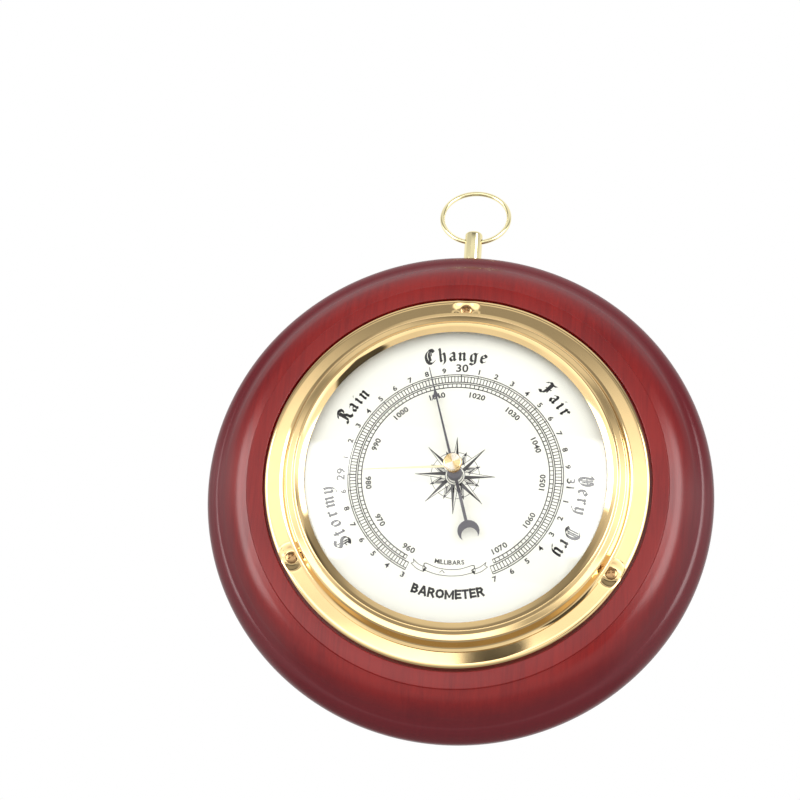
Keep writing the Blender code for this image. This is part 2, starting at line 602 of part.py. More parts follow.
def make_adjusting_screw(shop):
    """Slotted screw, reached through the back cover, that tips the main spring's foot."""
    top = SPRING_FOOT_HEIGHT - SPRING_SHEET / 2 - GAP
    back = COVER_INSIDE - 0.4 * MM
    profile = [(0, top), (1.0 * MM, top), (2.3 * MM, top - 0.3 * MM), (2.3 * MM, back), (0, back)]
    screw = turned(shop, "adjusting_screw", profile, shop.turned_brass, 24, location=(SPRING_SCREW_X, 0, 0))
    slot = box_mesh("adjusting_slot", (6.0 * MM, 0.7 * MM, 1.4 * MM))
    boolean(screw, shop.cutter("adjusting_slot", slot, (SPRING_SCREW_X, 0, back)))


def make_lever(shop):
    """Main lever from the spring's leaf to the rocking shaft, its screw and its link."""
    link_x = ROCKER_X + ROCKER_CRANK
    outline = [(CAPSULE_X - 3 * MM, -4 * MM), (CAPSULE_X + 6 * MM, -4.5 * MM), (link_x + 1.5 * MM, LINK_Y - 1.2 * MM),
               (link_x + 1.5 * MM, LINK_Y + 1.2 * MM), (CAPSULE_X + 8 * MM, 3 * MM), (CAPSULE_X + 3 * MM, 7.0 * MM),
               (CAPSULE_X - 3 * MM, 7.0 * MM)]
    hole = circle((CAPSULE_X, 5.0 * MM), 1.1 * MM, 12)
    plate(shop, "main_lever", outline, [hole], LEVER_HEIGHT, LEVER_THICKNESS, shop.steel)
    head = LEVER_HEIGHT + LEVER_THICKNESS / 2 + GAP
    low = SPRING_LEAF_HEIGHT - SPRING_SHEET / 2
    screw = [(0, head + 0.8 * MM), (1.7 * MM, head + 0.8 * MM), (1.7 * MM, head), (0.7 * MM, head),
             (0.7 * MM, low), (0, low)]
    turned(shop, "lever_screw", screw, shop.steel, location=(CAPSULE_X, 5.0 * MM, 0))
    link = rod(0.5 * MM, ROCKER_HEIGHT + 1.2 * MM, LEVER_HEIGHT - LEVER_THICKNESS / 2 - GAP)
    turned(shop, "link_rod", link, shop.steel, 12, location=(link_x, LINK_Y, 0))


def make_rocker(shop):
    """Rocking shaft in its bracket: a short crank for the link, a long arm for the chain."""
    half_span = 8.0 * MM
    foot = BASE_TOP + GAP + 0.5 * MM
    ear_top = ROCKER_HEIGHT + 2.5 * MM
    path = [(-half_span, ear_top), (-half_span, foot), (half_span, foot), (half_span, ear_top)]
    bracket = strip(shop, "rocker_bracket", path, 5.0 * MM, 1.0 * MM, shop.turned_brass,
                    turn=math.pi / 2, location=(ROCKER_X, 0, 0))
    bearing = turned_cutter(shop, "rocker_bearing", rod(1.0 * MM, -12 * MM, 12 * MM), 12,
                            location=(ROCKER_X, 0, ROCKER_HEIGHT), turn=(-math.pi / 2, 0, 0))
    boolean(bracket, bearing)
    shaft = turned(shop, "rocking_shaft", rod(0.7 * MM, -9.5 * MM, 9.5 * MM), shop.steel, 12,
                   location=(ROCKER_X, 0, ROCKER_HEIGHT), turn=(-math.pi / 2, 0, 0))
    arm_length = CHAIN_HEIGHT + 0.8 * MM - ROCKER_HEIGHT
    arm = shop.cutter("rocker_arm", box_mesh("rocker_arm", (0.8 * MM, 1.2 * MM, arm_length)),
                      (ROCKER_X, CHAIN_Y, ROCKER_HEIGHT + arm_length / 2))
    crank_length = ROCKER_CRANK + 0.8 * MM
    crank = shop.cutter("rocker_crank", box_mesh("rocker_crank", (crank_length, 1.4 * MM, 0.8 * MM)),
                        (ROCKER_X + crank_length / 2, LINK_Y, ROCKER_HEIGHT))
    boolean(shaft, arm, "UNION")
    boolean(shaft, crank, "UNION")


def make_chain(shop):
    """Fine chain from the rocker's long arm to the arbor's drum, pulled straight."""
    start = 0.4 * MM
    end = ROCKER_X - 0.8 * MM
    turned(shop, "arbor_chain", rod(0.2 * MM, start, end), shop.steel, 6,
           location=(0, CHAIN_Y, CHAIN_HEIGHT), turn=(0, math.pi / 2, 0))


def make_hairspring(shop):
    """Flat spiral spring round the arbor, and the stud that holds its outer end."""
    turns = 4
    points_per_turn = 12
    inner = 2.3 * MM
    outer = 7.6 * MM
    height = -1.9 * MM
    wire = 0.18 * MM
    data = bpy.data.curves.new("hairspring", "CURVE")
    data.dimensions = "3D"
    data.bevel_depth = wire
    data.bevel_resolution = 0
    data.use_fill_caps = True
    data.resolution_u = 1
    data.render_resolution_u = 0
    spline = data.splines.new("POLY")
    count = turns * points_per_turn + 1
    spline.points.add(count - 1)
    for i, point in enumerate(spline.points):
        angle = 2 * math.pi * i / points_per_turn
        radius = inner + (outer - inner) * i / (count - 1)
        point.co = (radius * math.cos(angle), radius * math.sin(angle), 0, 1)
    shop.place("hairspring", data, shop.steel, (0, 0, height), (0, 0, -math.pi / 2))
    stud_x = outer + wire + GAP + 0.7 * MM
    turned(shop, "hairspring_stud", rod(0.7 * MM, UPPER_BRIDGE_TOP + GAP, height + 0.6 * MM), shop.turned_brass, 12,
           location=(0, -stud_x, 0))


# ---------------------------------------------------------------- build
def main():
    clear_scene()
    shop = Workshop()
    make_wood(shop)
    make_flange_screws(shop)
    make_hanging_stem(shop)
    make_hanging_ring(shop)
    make_case(shop)
    make_bezel(shop)
    make_glass(shop)
    make_gasket(shop)
    make_dial(shop)
    make_back_cover(shop)
    make_pointer(shop)
    make_set_hand(shop)
    make_base(shop)
    make_pillars(shop)
    make_bridges(shop)
    make_capsule(shop)
    make_main_spring(shop)
    make_adjusting_screw(shop)
    make_lever(shop)
    make_rocker(shop)
    make_chain(shop)
    make_hairspring(shop)


main()
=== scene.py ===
import json
import math

import bmesh
import bpy
from bpy.props import FloatProperty, FloatVectorProperty, IntProperty, PointerProperty
from bpy.types import Operator, Panel, PropertyGroup
from mathutils import Matrix, Vector


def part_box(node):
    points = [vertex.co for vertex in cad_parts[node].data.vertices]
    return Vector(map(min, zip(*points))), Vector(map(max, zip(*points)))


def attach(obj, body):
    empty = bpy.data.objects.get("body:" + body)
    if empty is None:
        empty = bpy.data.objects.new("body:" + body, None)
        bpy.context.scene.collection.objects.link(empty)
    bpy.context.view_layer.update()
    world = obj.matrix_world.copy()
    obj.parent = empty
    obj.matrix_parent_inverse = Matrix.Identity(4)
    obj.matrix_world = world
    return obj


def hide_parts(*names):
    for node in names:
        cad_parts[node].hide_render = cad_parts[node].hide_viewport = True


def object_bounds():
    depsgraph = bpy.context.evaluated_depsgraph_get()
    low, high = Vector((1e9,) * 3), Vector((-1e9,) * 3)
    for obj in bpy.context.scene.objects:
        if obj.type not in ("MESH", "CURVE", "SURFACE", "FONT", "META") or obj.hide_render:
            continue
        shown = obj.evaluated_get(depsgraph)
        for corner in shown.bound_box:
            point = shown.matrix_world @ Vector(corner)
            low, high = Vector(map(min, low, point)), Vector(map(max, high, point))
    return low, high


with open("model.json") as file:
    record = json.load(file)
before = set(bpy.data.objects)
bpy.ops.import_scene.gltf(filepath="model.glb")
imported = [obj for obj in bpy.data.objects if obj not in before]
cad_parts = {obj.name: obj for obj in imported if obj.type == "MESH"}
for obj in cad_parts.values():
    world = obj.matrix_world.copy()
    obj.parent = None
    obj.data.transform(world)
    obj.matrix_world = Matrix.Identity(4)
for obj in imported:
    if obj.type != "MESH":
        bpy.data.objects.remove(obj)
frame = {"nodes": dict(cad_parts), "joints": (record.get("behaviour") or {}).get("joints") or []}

bl_info = {
    "name": "Wall barometer",
    "version": (1, 0, 0),
    "blender": (4, 5, 0),
    "location": "3D View > Sidebar > Barometer",
    "description": "Builds a brass aneroid barometer in a turned mahogany mount",
    "category": "Add Mesh",
}

MM = 0.001
NODES = frame["nodes"]
CAD_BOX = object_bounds()
JOINTS = {joint["name"]: joint for joint in frame["joints"]}
CENTRE = Vector(JOINTS["pointer_turn"]["pos_m"])
RING_HINGE = Vector(JOINTS["ring_swing"]["pos_m"])
# the dial's own axes: x to the right, y to 12 o'clock, z out towards the reader
FACE = Matrix.Translation(CENTRE) @ Matrix.Rotation(math.pi / 2, 4, "X")
# the stem and the mount's rim share this height
STEM_Z = CENTRE.y - RING_HINGE.y
STEM_FOOT = 89.7 * MM      # how deep the stem's seat goes, from the dial's centre
RIM_BEAD = 8.0 * MM        # radius of the mount's round rim
FLANGE_FACE = -1.35 * MM
FLANGE_SHEET = 0.9 * MM
BEZEL_SHEET = 0.6 * MM
DIMPLE_INNER = 2.6 * MM    # the flange is flat around a screw out to here
DIMPLE_OUTER = 5.8 * MM
SCREW_TOP = -1.12 * MM
RING_SAG = 0.3 * MM        # how far the ring's wire hangs below the hole's axis
KNURL_REACH = 0.12 * MM    # how far the ridges stand out from the knob


def half_width(node):
    low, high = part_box(node)
    return (high.x - low.x) / 2


# ---------------------------------------------------------------- sizes and colours
def length(name, description, default, low, high):
    return FloatProperty(name=name, description=description, default=default, min=low, max=high, precision=5,
                         unit="LENGTH")


def whole(name, description, default, low, high):
    return IntProperty(name=name, description=description, default=default, min=low, max=high)


def colour(name, description, default):
    return FloatVectorProperty(name=name, description=description, subtype="COLOR", default=default,
                               min=0, max=1)


class BarometerSizes(PropertyGroup):
    mount_radius: length("Mount radius", "Outermost radius of the turned mount",
                         half_width("wood_mount"), 0.09, 0.12)
    flange_radius: length("Flange radius", "Outer radius of the brass flange",
                          half_width("flanged_case"), 0.07, 0.08)
    ring_radius: length("Ring radius", "Hanging ring, to the middle of its wire", 0.0144, 0.01, 0.02)
    ring_wire: length("Ring wire", "Half the thickness of the hanging ring's wire", 0.001, 0.0006, 0.0014)
    knurl_count: whole("Knurl ridges", "Ridges around the setting knob", 44, 12, 90)
    turning_steps: whole("Turning steps", "Facets around each large turned piece", 288, 96, 512)
    dimple_depth: length("Dimple depth", "How deep the flange is drawn in around each screw",
                         0.0007, 0.0, 0.0009)


class BarometerColours(PropertyGroup):
    mahogany: colour("Mahogany", "Stained wood", (0.245, 0.012, 0.010))
    mahogany_dark: colour("Dark grain", "Darker streaks of the grain", (0.150, 0.007, 0.008))
    # painted shade: a darker, more mauve colour for the round rim, standing in for the dimmer light there
    mahogany_rim: colour("Rim painted shade", "Painted shade that darkens the round rim", (0.100, 0.009, 0.015))
    brass: colour("Brass", "Polished and lacquered brass", (0.90, 0.65, 0.32))
    # painted light: a paler copy of the brass for the stem and ring, standing in for the brighter light that
    # they reflect
    light_brass: colour("Light brass", "Brass painted paler on the stem and ring for the brighter light they reflect", (1.0, 0.89, 0.52))
    dial: colour("Dial", "Ivory enamel of the dial", (1.0, 0.978, 0.895))
    print_ink: colour("Print", "Printing on the dial", (0.022, 0.019, 0.021))
    pointer: colour("Pointer", "Painted pressure hand", (0.075, 0.068, 0.082))
    floor: colour("Floor", "Studio floor", (0.93, 0.925, 0.915))


# ---------------------------------------------------------------- nodes for shading and for geometry
def operator_of(operation):
    return lambda wire, other: wire.math(operation, other)


class Wire:
    """One socket of a node tree that takes part in Python arithmetic."""

    def __init__(self, graph, socket):
        self.graph = graph
        self.socket = socket

    def math(self, operation, *others):
        return self.graph.node("Math", {"operation": operation}, self, *others).wire()

    __add__ = __radd__ = operator_of("ADD")
    __mul__ = __rmul__ = operator_of("MULTIPLY")
    __sub__ = operator_of("SUBTRACT")
    __truediv__ = operator_of("DIVIDE")

    def __rsub__(self, other):
        return self.graph.node("Math", {"operation": "SUBTRACT"}, other, self).wire()

    def sine(self):
        return self.math("SINE")

    def cosine(self):
        return self.math("COSINE")


class Made:
    """A node that has just been made, with short ways to its outputs."""

    def __init__(self, graph, node):
        self.graph = graph
        self.node = node

    def wire(self, output=0):
        return Wire(self.graph, self.node.outputs[output])


class Graph:
    """A node tree. One method makes every node in it."""

    prefix = "ShaderNode"

    def __init__(self, tree):
        self.tree = tree

    def link(self, source, target):
        self.tree.links.new(source.socket, target)

    def node(self, kind, settings=None, *values, **named):
        shared = kind in ("Math", "CombineXYZ", "SeparateXYZ")
        made = self.tree.nodes.new(("ShaderNode" if shared else self.prefix) + kind)
        for setting, value in (settings or {}).items():
            if setting == "stops":
                self.set_stops(made.color_ramp, value)
            else:
                setattr(made, setting, value)
        for slot, value in enumerate(values):
            self.fill(made.inputs[slot], value)
        for name, value in named.items():
            self.fill(made.inputs[name.replace("_", " ")], value)
        return Made(self, made)

    def fill(self, socket, value):
        if value is None:
            return
        if isinstance(value, Wire):
            self.link(value, socket)
        elif isinstance(value, (tuple, list, Vector)) and socket.type == "RGBA":
            socket.default_value = (*value, 1.0)[:4]
        else:
            socket.default_value = value

    def spread(self, value, low, high, first=0.0, last=1.0):
        """A smooth step from first to last as value goes from low to high."""
        settings = {"interpolation_type": "SMOOTHSTEP"}
        return self.node("MapRange", settings, value, low, high, first, last).wire()

    @staticmethod
    def set_stops(ramp, stops):
        while len(ramp.elements) < len(stops):
            ramp.elements.new(0.5)
        for element, (place, colour) in zip(ramp.elements, stops):
            element.position = place
            element.color = (*colour, 1.0)[:4]


class Finish(Graph):
    """A material: a principled shader whose varying sockets are fed by wires."""

    def __init__(self, name, **constants):
        self.material = bpy.data.materials.new(name)
        self.material.use_nodes = True
        super().__init__(self.material.node_tree)
        self.shader = self.tree.nodes["Principled BSDF"]
        for name, value in constants.items():
            self.fill(self.shader.inputs[name.replace("_", " ")], value)

    def feed(self, socket, wire):
        self.link(wire, self.shader.inputs[socket])

    def place(self, scale=(1, 1, 1), about=CENTRE):
        """Object coordinates, measured from a point and stretched."""
        moved = self.node("VectorMath", {"operation": "SUBTRACT"},
                          self.node("TexCoord").wire("Object"), tuple(about)).wire()
        return self.node("Mapping", None, moved, Scale=scale).wire()

    def noise(self, where, scale, detail=3.0, roughness=0.5, distortion=0.0):
        return self.node("TexNoise", None, Vector=where, Scale=scale, Detail=detail,
                         Roughness=roughness, Distortion=distortion).wire(0)

    def mix(self, factor, first, second):
        made = self.node("Mix", {"data_type": "RGBA"})
        self.fill(made.node.inputs[0], factor)
        self.fill(made.node.inputs[6], first)
        self.fill(made.node.inputs[7], second)
        return made.wire(2)

    def bump(self, height, strength, distance):
        wire = self.node("Bump", None, Strength=strength, Distance=distance, Height=height).wire()
        self.feed("Normal", wire)

def mahogany(colours):
    made = Finish("mahogany_lacquered", Coat_Weight=0.75, Coat_Roughness=0.22, Coat_IOR=1.5,
                  Specular_IOR_Level=0.0)
    along = made.place(scale=(1, 0.35, 0.045))
    figure = made.noise(along, 520, 5, 0.62, 0.25)
    fibre = made.noise(along, 2600, 3, 0.6)
    cloud = made.noise(made.place(), 26, 2, 0.5)
    grain = figure * 0.4 + fibre * 0.2 + cloud * 0.4
    # painted shade: the base colour turns darker and more mauve towards the round rim, standing in for the
    # dimmer light there
    flat = made.node("SeparateXYZ", None, made.place())
    across, up = flat.wire(0), flat.wire(2)
    rim = made.spread((across * across + up * up).math("SQRT"), 0.084, 0.098)
    stain = made.mix(made.spread(grain, 0.3, 0.62), tuple(colours.mahogany_dark), tuple(colours.mahogany))
    made.feed("Base Color", made.mix(rim * 0.85, stain, tuple(colours.mahogany_rim)))
    made.feed("Roughness", fibre * 0.16 + 0.26)
    made.bump(fibre, 0.06, 0.00006)
    return made.material


def shade(colour, share):
    return tuple(part * share for part in colour)


def polished_brass(colour, name="polished_brass"):
    made = Finish(name, Metallic=1.0, Base_Color=tuple(colour))
    smear = made.noise(made.place(), 70, 3, 0.55)
    hairline = made.noise(made.place((1, 1, 0.06)), 5200, 2, 0.5)
    made.feed("Base Color", made.mix(made.spread(smear, 0.3, 0.75), tuple(colour), shade(colour, 0.93)))
    made.feed("Roughness", smear * 0.05 + hairline * 0.02 + 0.012)
    return made.material


def turned_brass(colour, name="turned_brass", painted_highlight_strength=0.0):
    """Facing cuts leave fine rings around the axis. The last argument is how strongly a painted highlight,
    bright sectors mixed into the base colour, stands in for the light that the rings catch in sectors.
    """
    made = Finish(name, Metallic=1.0, Base_Color=tuple(colour))
    where = made.node("SeparateXYZ", None, made.place())
    across, up = where.wire(0), where.wire(2)
    radius = (across * across + up * up).math("SQRT")
    groove = (radius * 21000.0).sine() * 0.5 + 0.5
    sector = made.node("Math", {"operation": "ARCTAN2"}, across, up).wire()
    streak = made.noise(made.node("CombineXYZ", None, sector * 1.6, radius * 90.0, 0.0).wire(), 6, 2, 0.5)
    plain = made.mix(made.spread(streak, 0.35, 0.7), tuple(colour), shade(colour, 0.88))
    # painted highlight: two bright sectors around the axis, mixed into the base colour towards a pale tint
    # where the turned rings would catch the light
    painted_highlight_mask = made.spread((sector * 2.0 + 0.7).sine() * 0.5 + 0.5, 0.25, 0.85) * painted_highlight_strength
    made.feed("Base Color", made.mix(painted_highlight_mask, plain, (1.0, 0.93, 0.80)))
    made.feed("Roughness", groove * 0.06 + 0.12)
    made.bump(groove, 1.0, 0.000022)
    return made.material


def dial_enamel(colour):
    made = Finish("dial_enamel", Specular_IOR_Level=0.25)
    mottle = made.noise(made.place(), 34, 3, 0.5)
    tooth = made.noise(made.place(), 5200, 2, 0.5)
    made.feed("Base Color", made.mix(made.spread(mottle, 0.3, 0.7), tuple(colour), shade(colour, 0.985)))
    made.feed("Roughness", tooth * 0.15 + 0.48)
    made.bump(tooth, 0.05, 0.00002)
    return made.material


def plain_metal(name, colour, rough):
    """Worked steel or nickel with faint brush marks."""
    made = Finish(name, Metallic=1.0, Base_Color=colour)
    brush = made.noise(made.place(scale=(0.08, 1, 1)), 2600, 3, 0.6)
    patch = made.noise(made.place(), 90, 3, 0.5)
    made.feed("Base Color", made.mix(patch, colour, shade(colour, 0.82)))
    made.feed("Roughness", brush * 0.1 + patch * 0.08 + rough)
    made.bump(brush, 0.08, 0.00002)
    return made.material


def speckled(name, colour, lighter, noise, rough, specular, bump=None):
    """Paint, ink, enamel or rubber with a fine speckle. noise is its scale, detail and roughness."""
    made = Finish(name, Specular_IOR_Level=specular)
    speckle = made.noise(made.place(), *noise)
    made.feed("Base Color", made.mix(speckle, colour, shade(colour, lighter)))
    made.feed("Roughness", speckle * rough[0] + rough[1])
    if bump:
        made.bump(speckle, *bump)
    return made.material


def soft_black(name, colour, rough):
    return speckled(name, colour, 1.6, (1700, 3, 0.6), (0.2, rough), 0.3, (0.15, 0.00003))


def clear_glass():
    """Clear to look through, with the surface reflections of a thin domed crystal."""
    made = Finish("domed_glass", Roughness=0.02)
    haze = made.noise(made.place(), 45, 2, 0.5)
    gloss = made.node("BsdfGlossy", None, (1.0, 1.0, 1.0, 1.0), haze * 0.02 + 0.01).wire()
    through = made.node("BsdfTransparent", None, (0.985, 0.99, 0.985, 1.0)).wire()
    outside = 1.0 - made.node("NewGeometry").wire("Backfacing")
    edge = made.node("Fresnel", None, 1.5).wire() * outside * 1.15
    blend = made.node("MixShader", None, edge, through, gloss).wire()
    made.link(blend, made.tree.nodes["Material Output"].inputs["Surface"])
    made.tree.nodes.remove(made.shader)
    return made.material


FINISHES = {}


def finish(name):
    """The named finish, made the first time that a piece asks for it."""
    colours = bpy.context.scene.barometer_colours
    makers = {
        "mahogany": lambda: mahogany(colours),
        "polished_brass": lambda: polished_brass(colours.brass),
        # the stem and ring get the brass painted paler for the brighter light they reflect
        "light_brass": lambda: polished_brass(colours.light_brass, "light_polished_brass"),
        "turned_brass": lambda: turned_brass(colours.brass),
        # the knob's brass, with painted highlight sectors
        "fan_turned_brass": lambda: turned_brass(colours.brass, "fan_turned_brass", 0.9),
        "dial": lambda: dial_enamel(colours.dial),
        "print": lambda: speckled("dial_print", tuple(colours.print_ink), 1.5, (1500, 2, 0.5),
                                  (0.2, 0.5), 0.2),
        "pointer": lambda: speckled("pointer_paint", tuple(colours.pointer), 1.25, (3600, 2, 0.5),
                                    (0.12, 0.36), 0.45, (0.06, 0.00002)),
        "pale_brass": lambda: plain_metal("pale_brass", (0.84, 0.74, 0.50), 0.30),
        "screw_brass": lambda: plain_metal("screw_brass", (0.46, 0.28, 0.13), 0.14),
        "steel": lambda: plain_metal("bright_steel", (0.50, 0.50, 0.52), 0.22),
        "nickel": lambda: plain_metal("nickel_plate", (0.70, 0.69, 0.65), 0.12),
        "rubber": lambda: soft_black("black_rubber", (0.030, 0.030, 0.031), 0.62),
        "glass": clear_glass,
    }
    if name not in FINISHES:
        FINISHES[name] = makers[name]()
    return FINISHES[name]


# ---------------------------------------------------------------- mesh helpers
def add_object(name, data):
    thing = bpy.data.objects.new(name, data)
    bpy.context.scene.collection.objects.link(thing)
    return thing


def evaluated_mesh(thing):
    bpy.context.view_layer.update()
    return bpy.data.meshes.new_from_object(thing.evaluated_get(bpy.context.evaluated_depsgraph_get()))


def new_piece(name, mesh, body, material, replaced=()):
    """Puts a finished mesh in the scene as a piece that rides on a body."""
    piece = add_object(name, mesh)
    mesh.name = name
    mesh.materials.clear()
    mesh.materials.append(material)
    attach(piece, body)
    if replaced:
        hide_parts(*replaced)
    return piece


def soften(mesh, angle=32):
    """Smooth shading, with creases kept where faces meet sharply."""
    mesh.polygons.foreach_set("use_smooth", [True] * len(mesh.polygons))
    mesh.set_sharp_from_angle(angle=math.radians(angle))


def to_mesh(builder, name, place=FACE, angle=32, outward=True):
    if outward:
        bmesh.ops.recalc_face_normals(builder, faces=builder.faces)
    mesh = bpy.data.meshes.new(name)
    builder.to_mesh(mesh)
    builder.free()
    mesh.transform(place)
    soften(mesh, angle)
    return mesh


def rounded(corners, step=10.0):
    """A closed outline from (r, z, radius) corners, each corner filleted with an arc."""
    outline = []
    count = len(corners)
    for i, (r, z, radius) in enumerate(corners):
        here = Vector((r, z))
        back = Vector(corners[i - 1][:2]) - here
        ahead = Vector(corners[(i + 1) % count][:2]) - here
        if radius <= 0 or back.length < 1e-9 or ahead.length < 1e-9:
            outline.append((r, z))
            continue
        half = back.angle(ahead) / 2
        if half > math.radians(89):
            outline.append((r, z))
            continue
        reach = min(radius / math.tan(half), 0.48 * back.length, 0.48 * ahead.length)
        true_radius = reach * math.tan(half)
        middle = here + (back.normalized() + ahead.normalized()).normalized() * (true_radius / math.sin(half))
        start = here + back.normalized() * reach - middle
        end = here + ahead.normalized() * reach - middle
        sweep = start.angle_signed(end)
        pieces = max(1, math.ceil(abs(math.degrees(sweep)) / step))
        for k in range(pieces + 1):
            turn = Matrix.Rotation(-sweep * k / pieces, 2)
            outline.append(tuple(middle + turn @ start))
    return outline


def in_mm(*rows):
    return [tuple(value * MM for value in row) for row in rows]


def arc(centre, radius, first, last, count):
    """Points (r, z) on part of a circle, angles in degrees."""
    steps = [math.radians(first + (last - first) * i / count) for i in range(count + 1)]
    return [(centre[0] + radius * math.cos(a), centre[1] + radius * math.sin(a)) for a in steps]


def lathe(outline, steps, bend=None):
    """A bmesh turned around the z axis from a closed (r, z) outline. bend may move each point."""
    builder = bmesh.new()
    loops = []
    for r, z in outline:
        if abs(r) < 1e-7:
            loops.append([builder.verts.new((0, 0, z))])
            continue
        ring = []
        for i in range(steps):
            a = 2 * math.pi * i / steps
            point = Vector((r * math.sin(a), r * math.cos(a), z))
            ring.append(builder.verts.new(bend(point) if bend else point))
        loops.append(ring)
    for below, above in zip(loops, loops[1:] + loops[:1]):
        if len(below) == 1 and len(above) == 1:
            continue
        for i in range(steps):
            j = (i + 1) % steps
            corners = (below[i % len(below)], below[j % len(below)],
                       above[j % len(above)], above[i % len(above)])
            builder.faces.new(tuple(dict.fromkeys(corners)))
    return builder


def sheet_outline(path, thickness):
    """A closed outline for spun sheet: the path, and the same path moved in by the thickness."""
    inner = []
    for i, (r, z) in enumerate(path):
        before = Vector(path[max(i - 1, 0)])
        after = Vector(path[min(i + 1, len(path) - 1)])
        along = (after - before).normalized()
        normal = Vector((along.y, -along.x))
        inner.append((r + normal.x * thickness, z + normal.y * thickness))
    return path + inner[::-1]


def prism(builder, outline, low, high):
    """Adds one closed flat piece with the given outline to a bmesh."""
    area = sum(a[0] * b[1] - b[0] * a[1] for a, b in zip(outline, outline[1:] + outline[:1]))
    if area < 0:
        outline = outline[::-1]
    bottom = [builder.verts.new((x, y, low)) for x, y in outline]
    top = [builder.verts.new((x, y, high)) for x, y in outline]
    builder.faces.new(top)
    builder.faces.new(bottom[::-1])
    for i in range(len(outline)):
        j = (i + 1) % len(outline)
        builder.faces.new((bottom[i], bottom[j], top[j], top[i]))


def on_dial(radius, angle):
    """A dial point from its radius and its angle in degrees clockwise from 12 o'clock."""
    turn = math.radians(angle)
    return radius * math.sin(turn), radius * math.cos(turn)


def drill(mesh, tools, name):
    """Cuts tools out of a mesh and returns the result."""
    piece = add_object(name, mesh)
    helpers = [add_object(name + "_tool", tool) for tool in tools]
    for helper in helpers:
        cut = piece.modifiers.new("cut", "BOOLEAN")
        cut.operation = "DIFFERENCE"
        cut.solver = "EXACT"
        cut.object = helper
    result = evaluated_mesh(piece)
    for thing in helpers + [piece]:
        bpy.data.objects.remove(thing)
    return result


# ---------------------------------------------------------------- geometry nodes
class Pattern(Graph):
    """A geometry tree with a count and other named inputs, run on an empty mesh."""

    prefix = "GeometryNode"

    def __init__(self, name, *labels):
        super().__init__(bpy.data.node_groups.new(name, "GeometryNodeTree"))
        face = self.tree.interface
        face.new_socket("Geometry", in_out="OUTPUT", socket_type="NodeSocketGeometry")
        self.keys = {}
        for label in ("Count", *labels):
            kind = "NodeSocketInt" if label == "Count" else "NodeSocketFloat"
            self.keys[label] = face.new_socket(label, in_out="INPUT", socket_type=kind).identifier
        self.entry = self.tree.nodes.new("NodeGroupInput")
        self.exit = self.tree.nodes.new("NodeGroupOutput")

    def given(self, label):
        return Wire(self, self.entry.outputs[label])

    def close(self, geometry, material):
        whole = self.node("RealizeInstances", None, geometry).wire()
        painted = self.node("SetMaterial", None, whole).node
        painted.inputs["Material"].default_value = material
        self.link(Wire(self, painted.outputs[0]), self.exit.inputs[0])

    def run(self, name, values):
        holder = add_object(name, bpy.data.meshes.new(name))
        modifier = holder.modifiers.new("pattern", "NODES")
        modifier.node_group = self.tree
        for label, value in values.items():
            modifier[self.keys[label]] = value
        mesh = evaluated_mesh(holder)
        holder.modifiers.remove(modifier)
        bpy.data.objects.remove(holder)
        return mesh


def ring_points(made, angle, radius, height):
    """Points on a circle, and the turn that faces each one's instance at the centre."""
    place = made.node("CombineXYZ", None, angle.sine() * radius, angle.cosine() * radius, height).wire()
    points = made.node("Points", None, made.given("Count"), place).wire()
    return points, made.node("CombineXYZ", None, 0.0, 0.0, angle * -1.0).wire()


def repeat(made, points, thing, turn, material):
    made.close(made.node("InstanceOnPoints", None, points, None, thing, None, None, turn).wire(), material)
    return made


def ticks_pattern(material):
    """A row of small bars on a circle, each pointing at the centre."""
    made = Pattern("dial_ticks", "First Angle", "Step Angle", "Inner Radius", "Outer Radius", "Width", "Height")
    index = made.node("InputIndex").wire()
    angle = (index * made.given("Step Angle") + made.given("First Angle")).math("RADIANS")
    middle = (made.given("Inner Radius") + made.given("Outer Radius")) * 0.5
    points, turn = ring_points(made, angle, middle, 0.0)
    length = made.given("Outer Radius") - made.given("Inner Radius")
    size = made.node("CombineXYZ", None, made.given("Width"), length, made.given("Height")).wire()
    return repeat(made, points, made.node("MeshCube", None, size).wire(), turn, material)


def ridge_pattern(material):
    """Ridges around a knob's edge, parallel to its axis."""
    made = Pattern("knob_ridges", "Radius", "Ridge", "Length", "Middle")
    index = made.node("InputIndex").wire()
    angle = index * (2 * math.pi) / made.given("Count")
    points, turn = ring_points(made, angle, made.given("Radius"), made.given("Middle"))
    ridge = made.node("MeshCylinder", None, 6, 2, 1, made.given("Ridge"), made.given("Length")).wire()
    return repeat(made, points, ridge, turn, material)


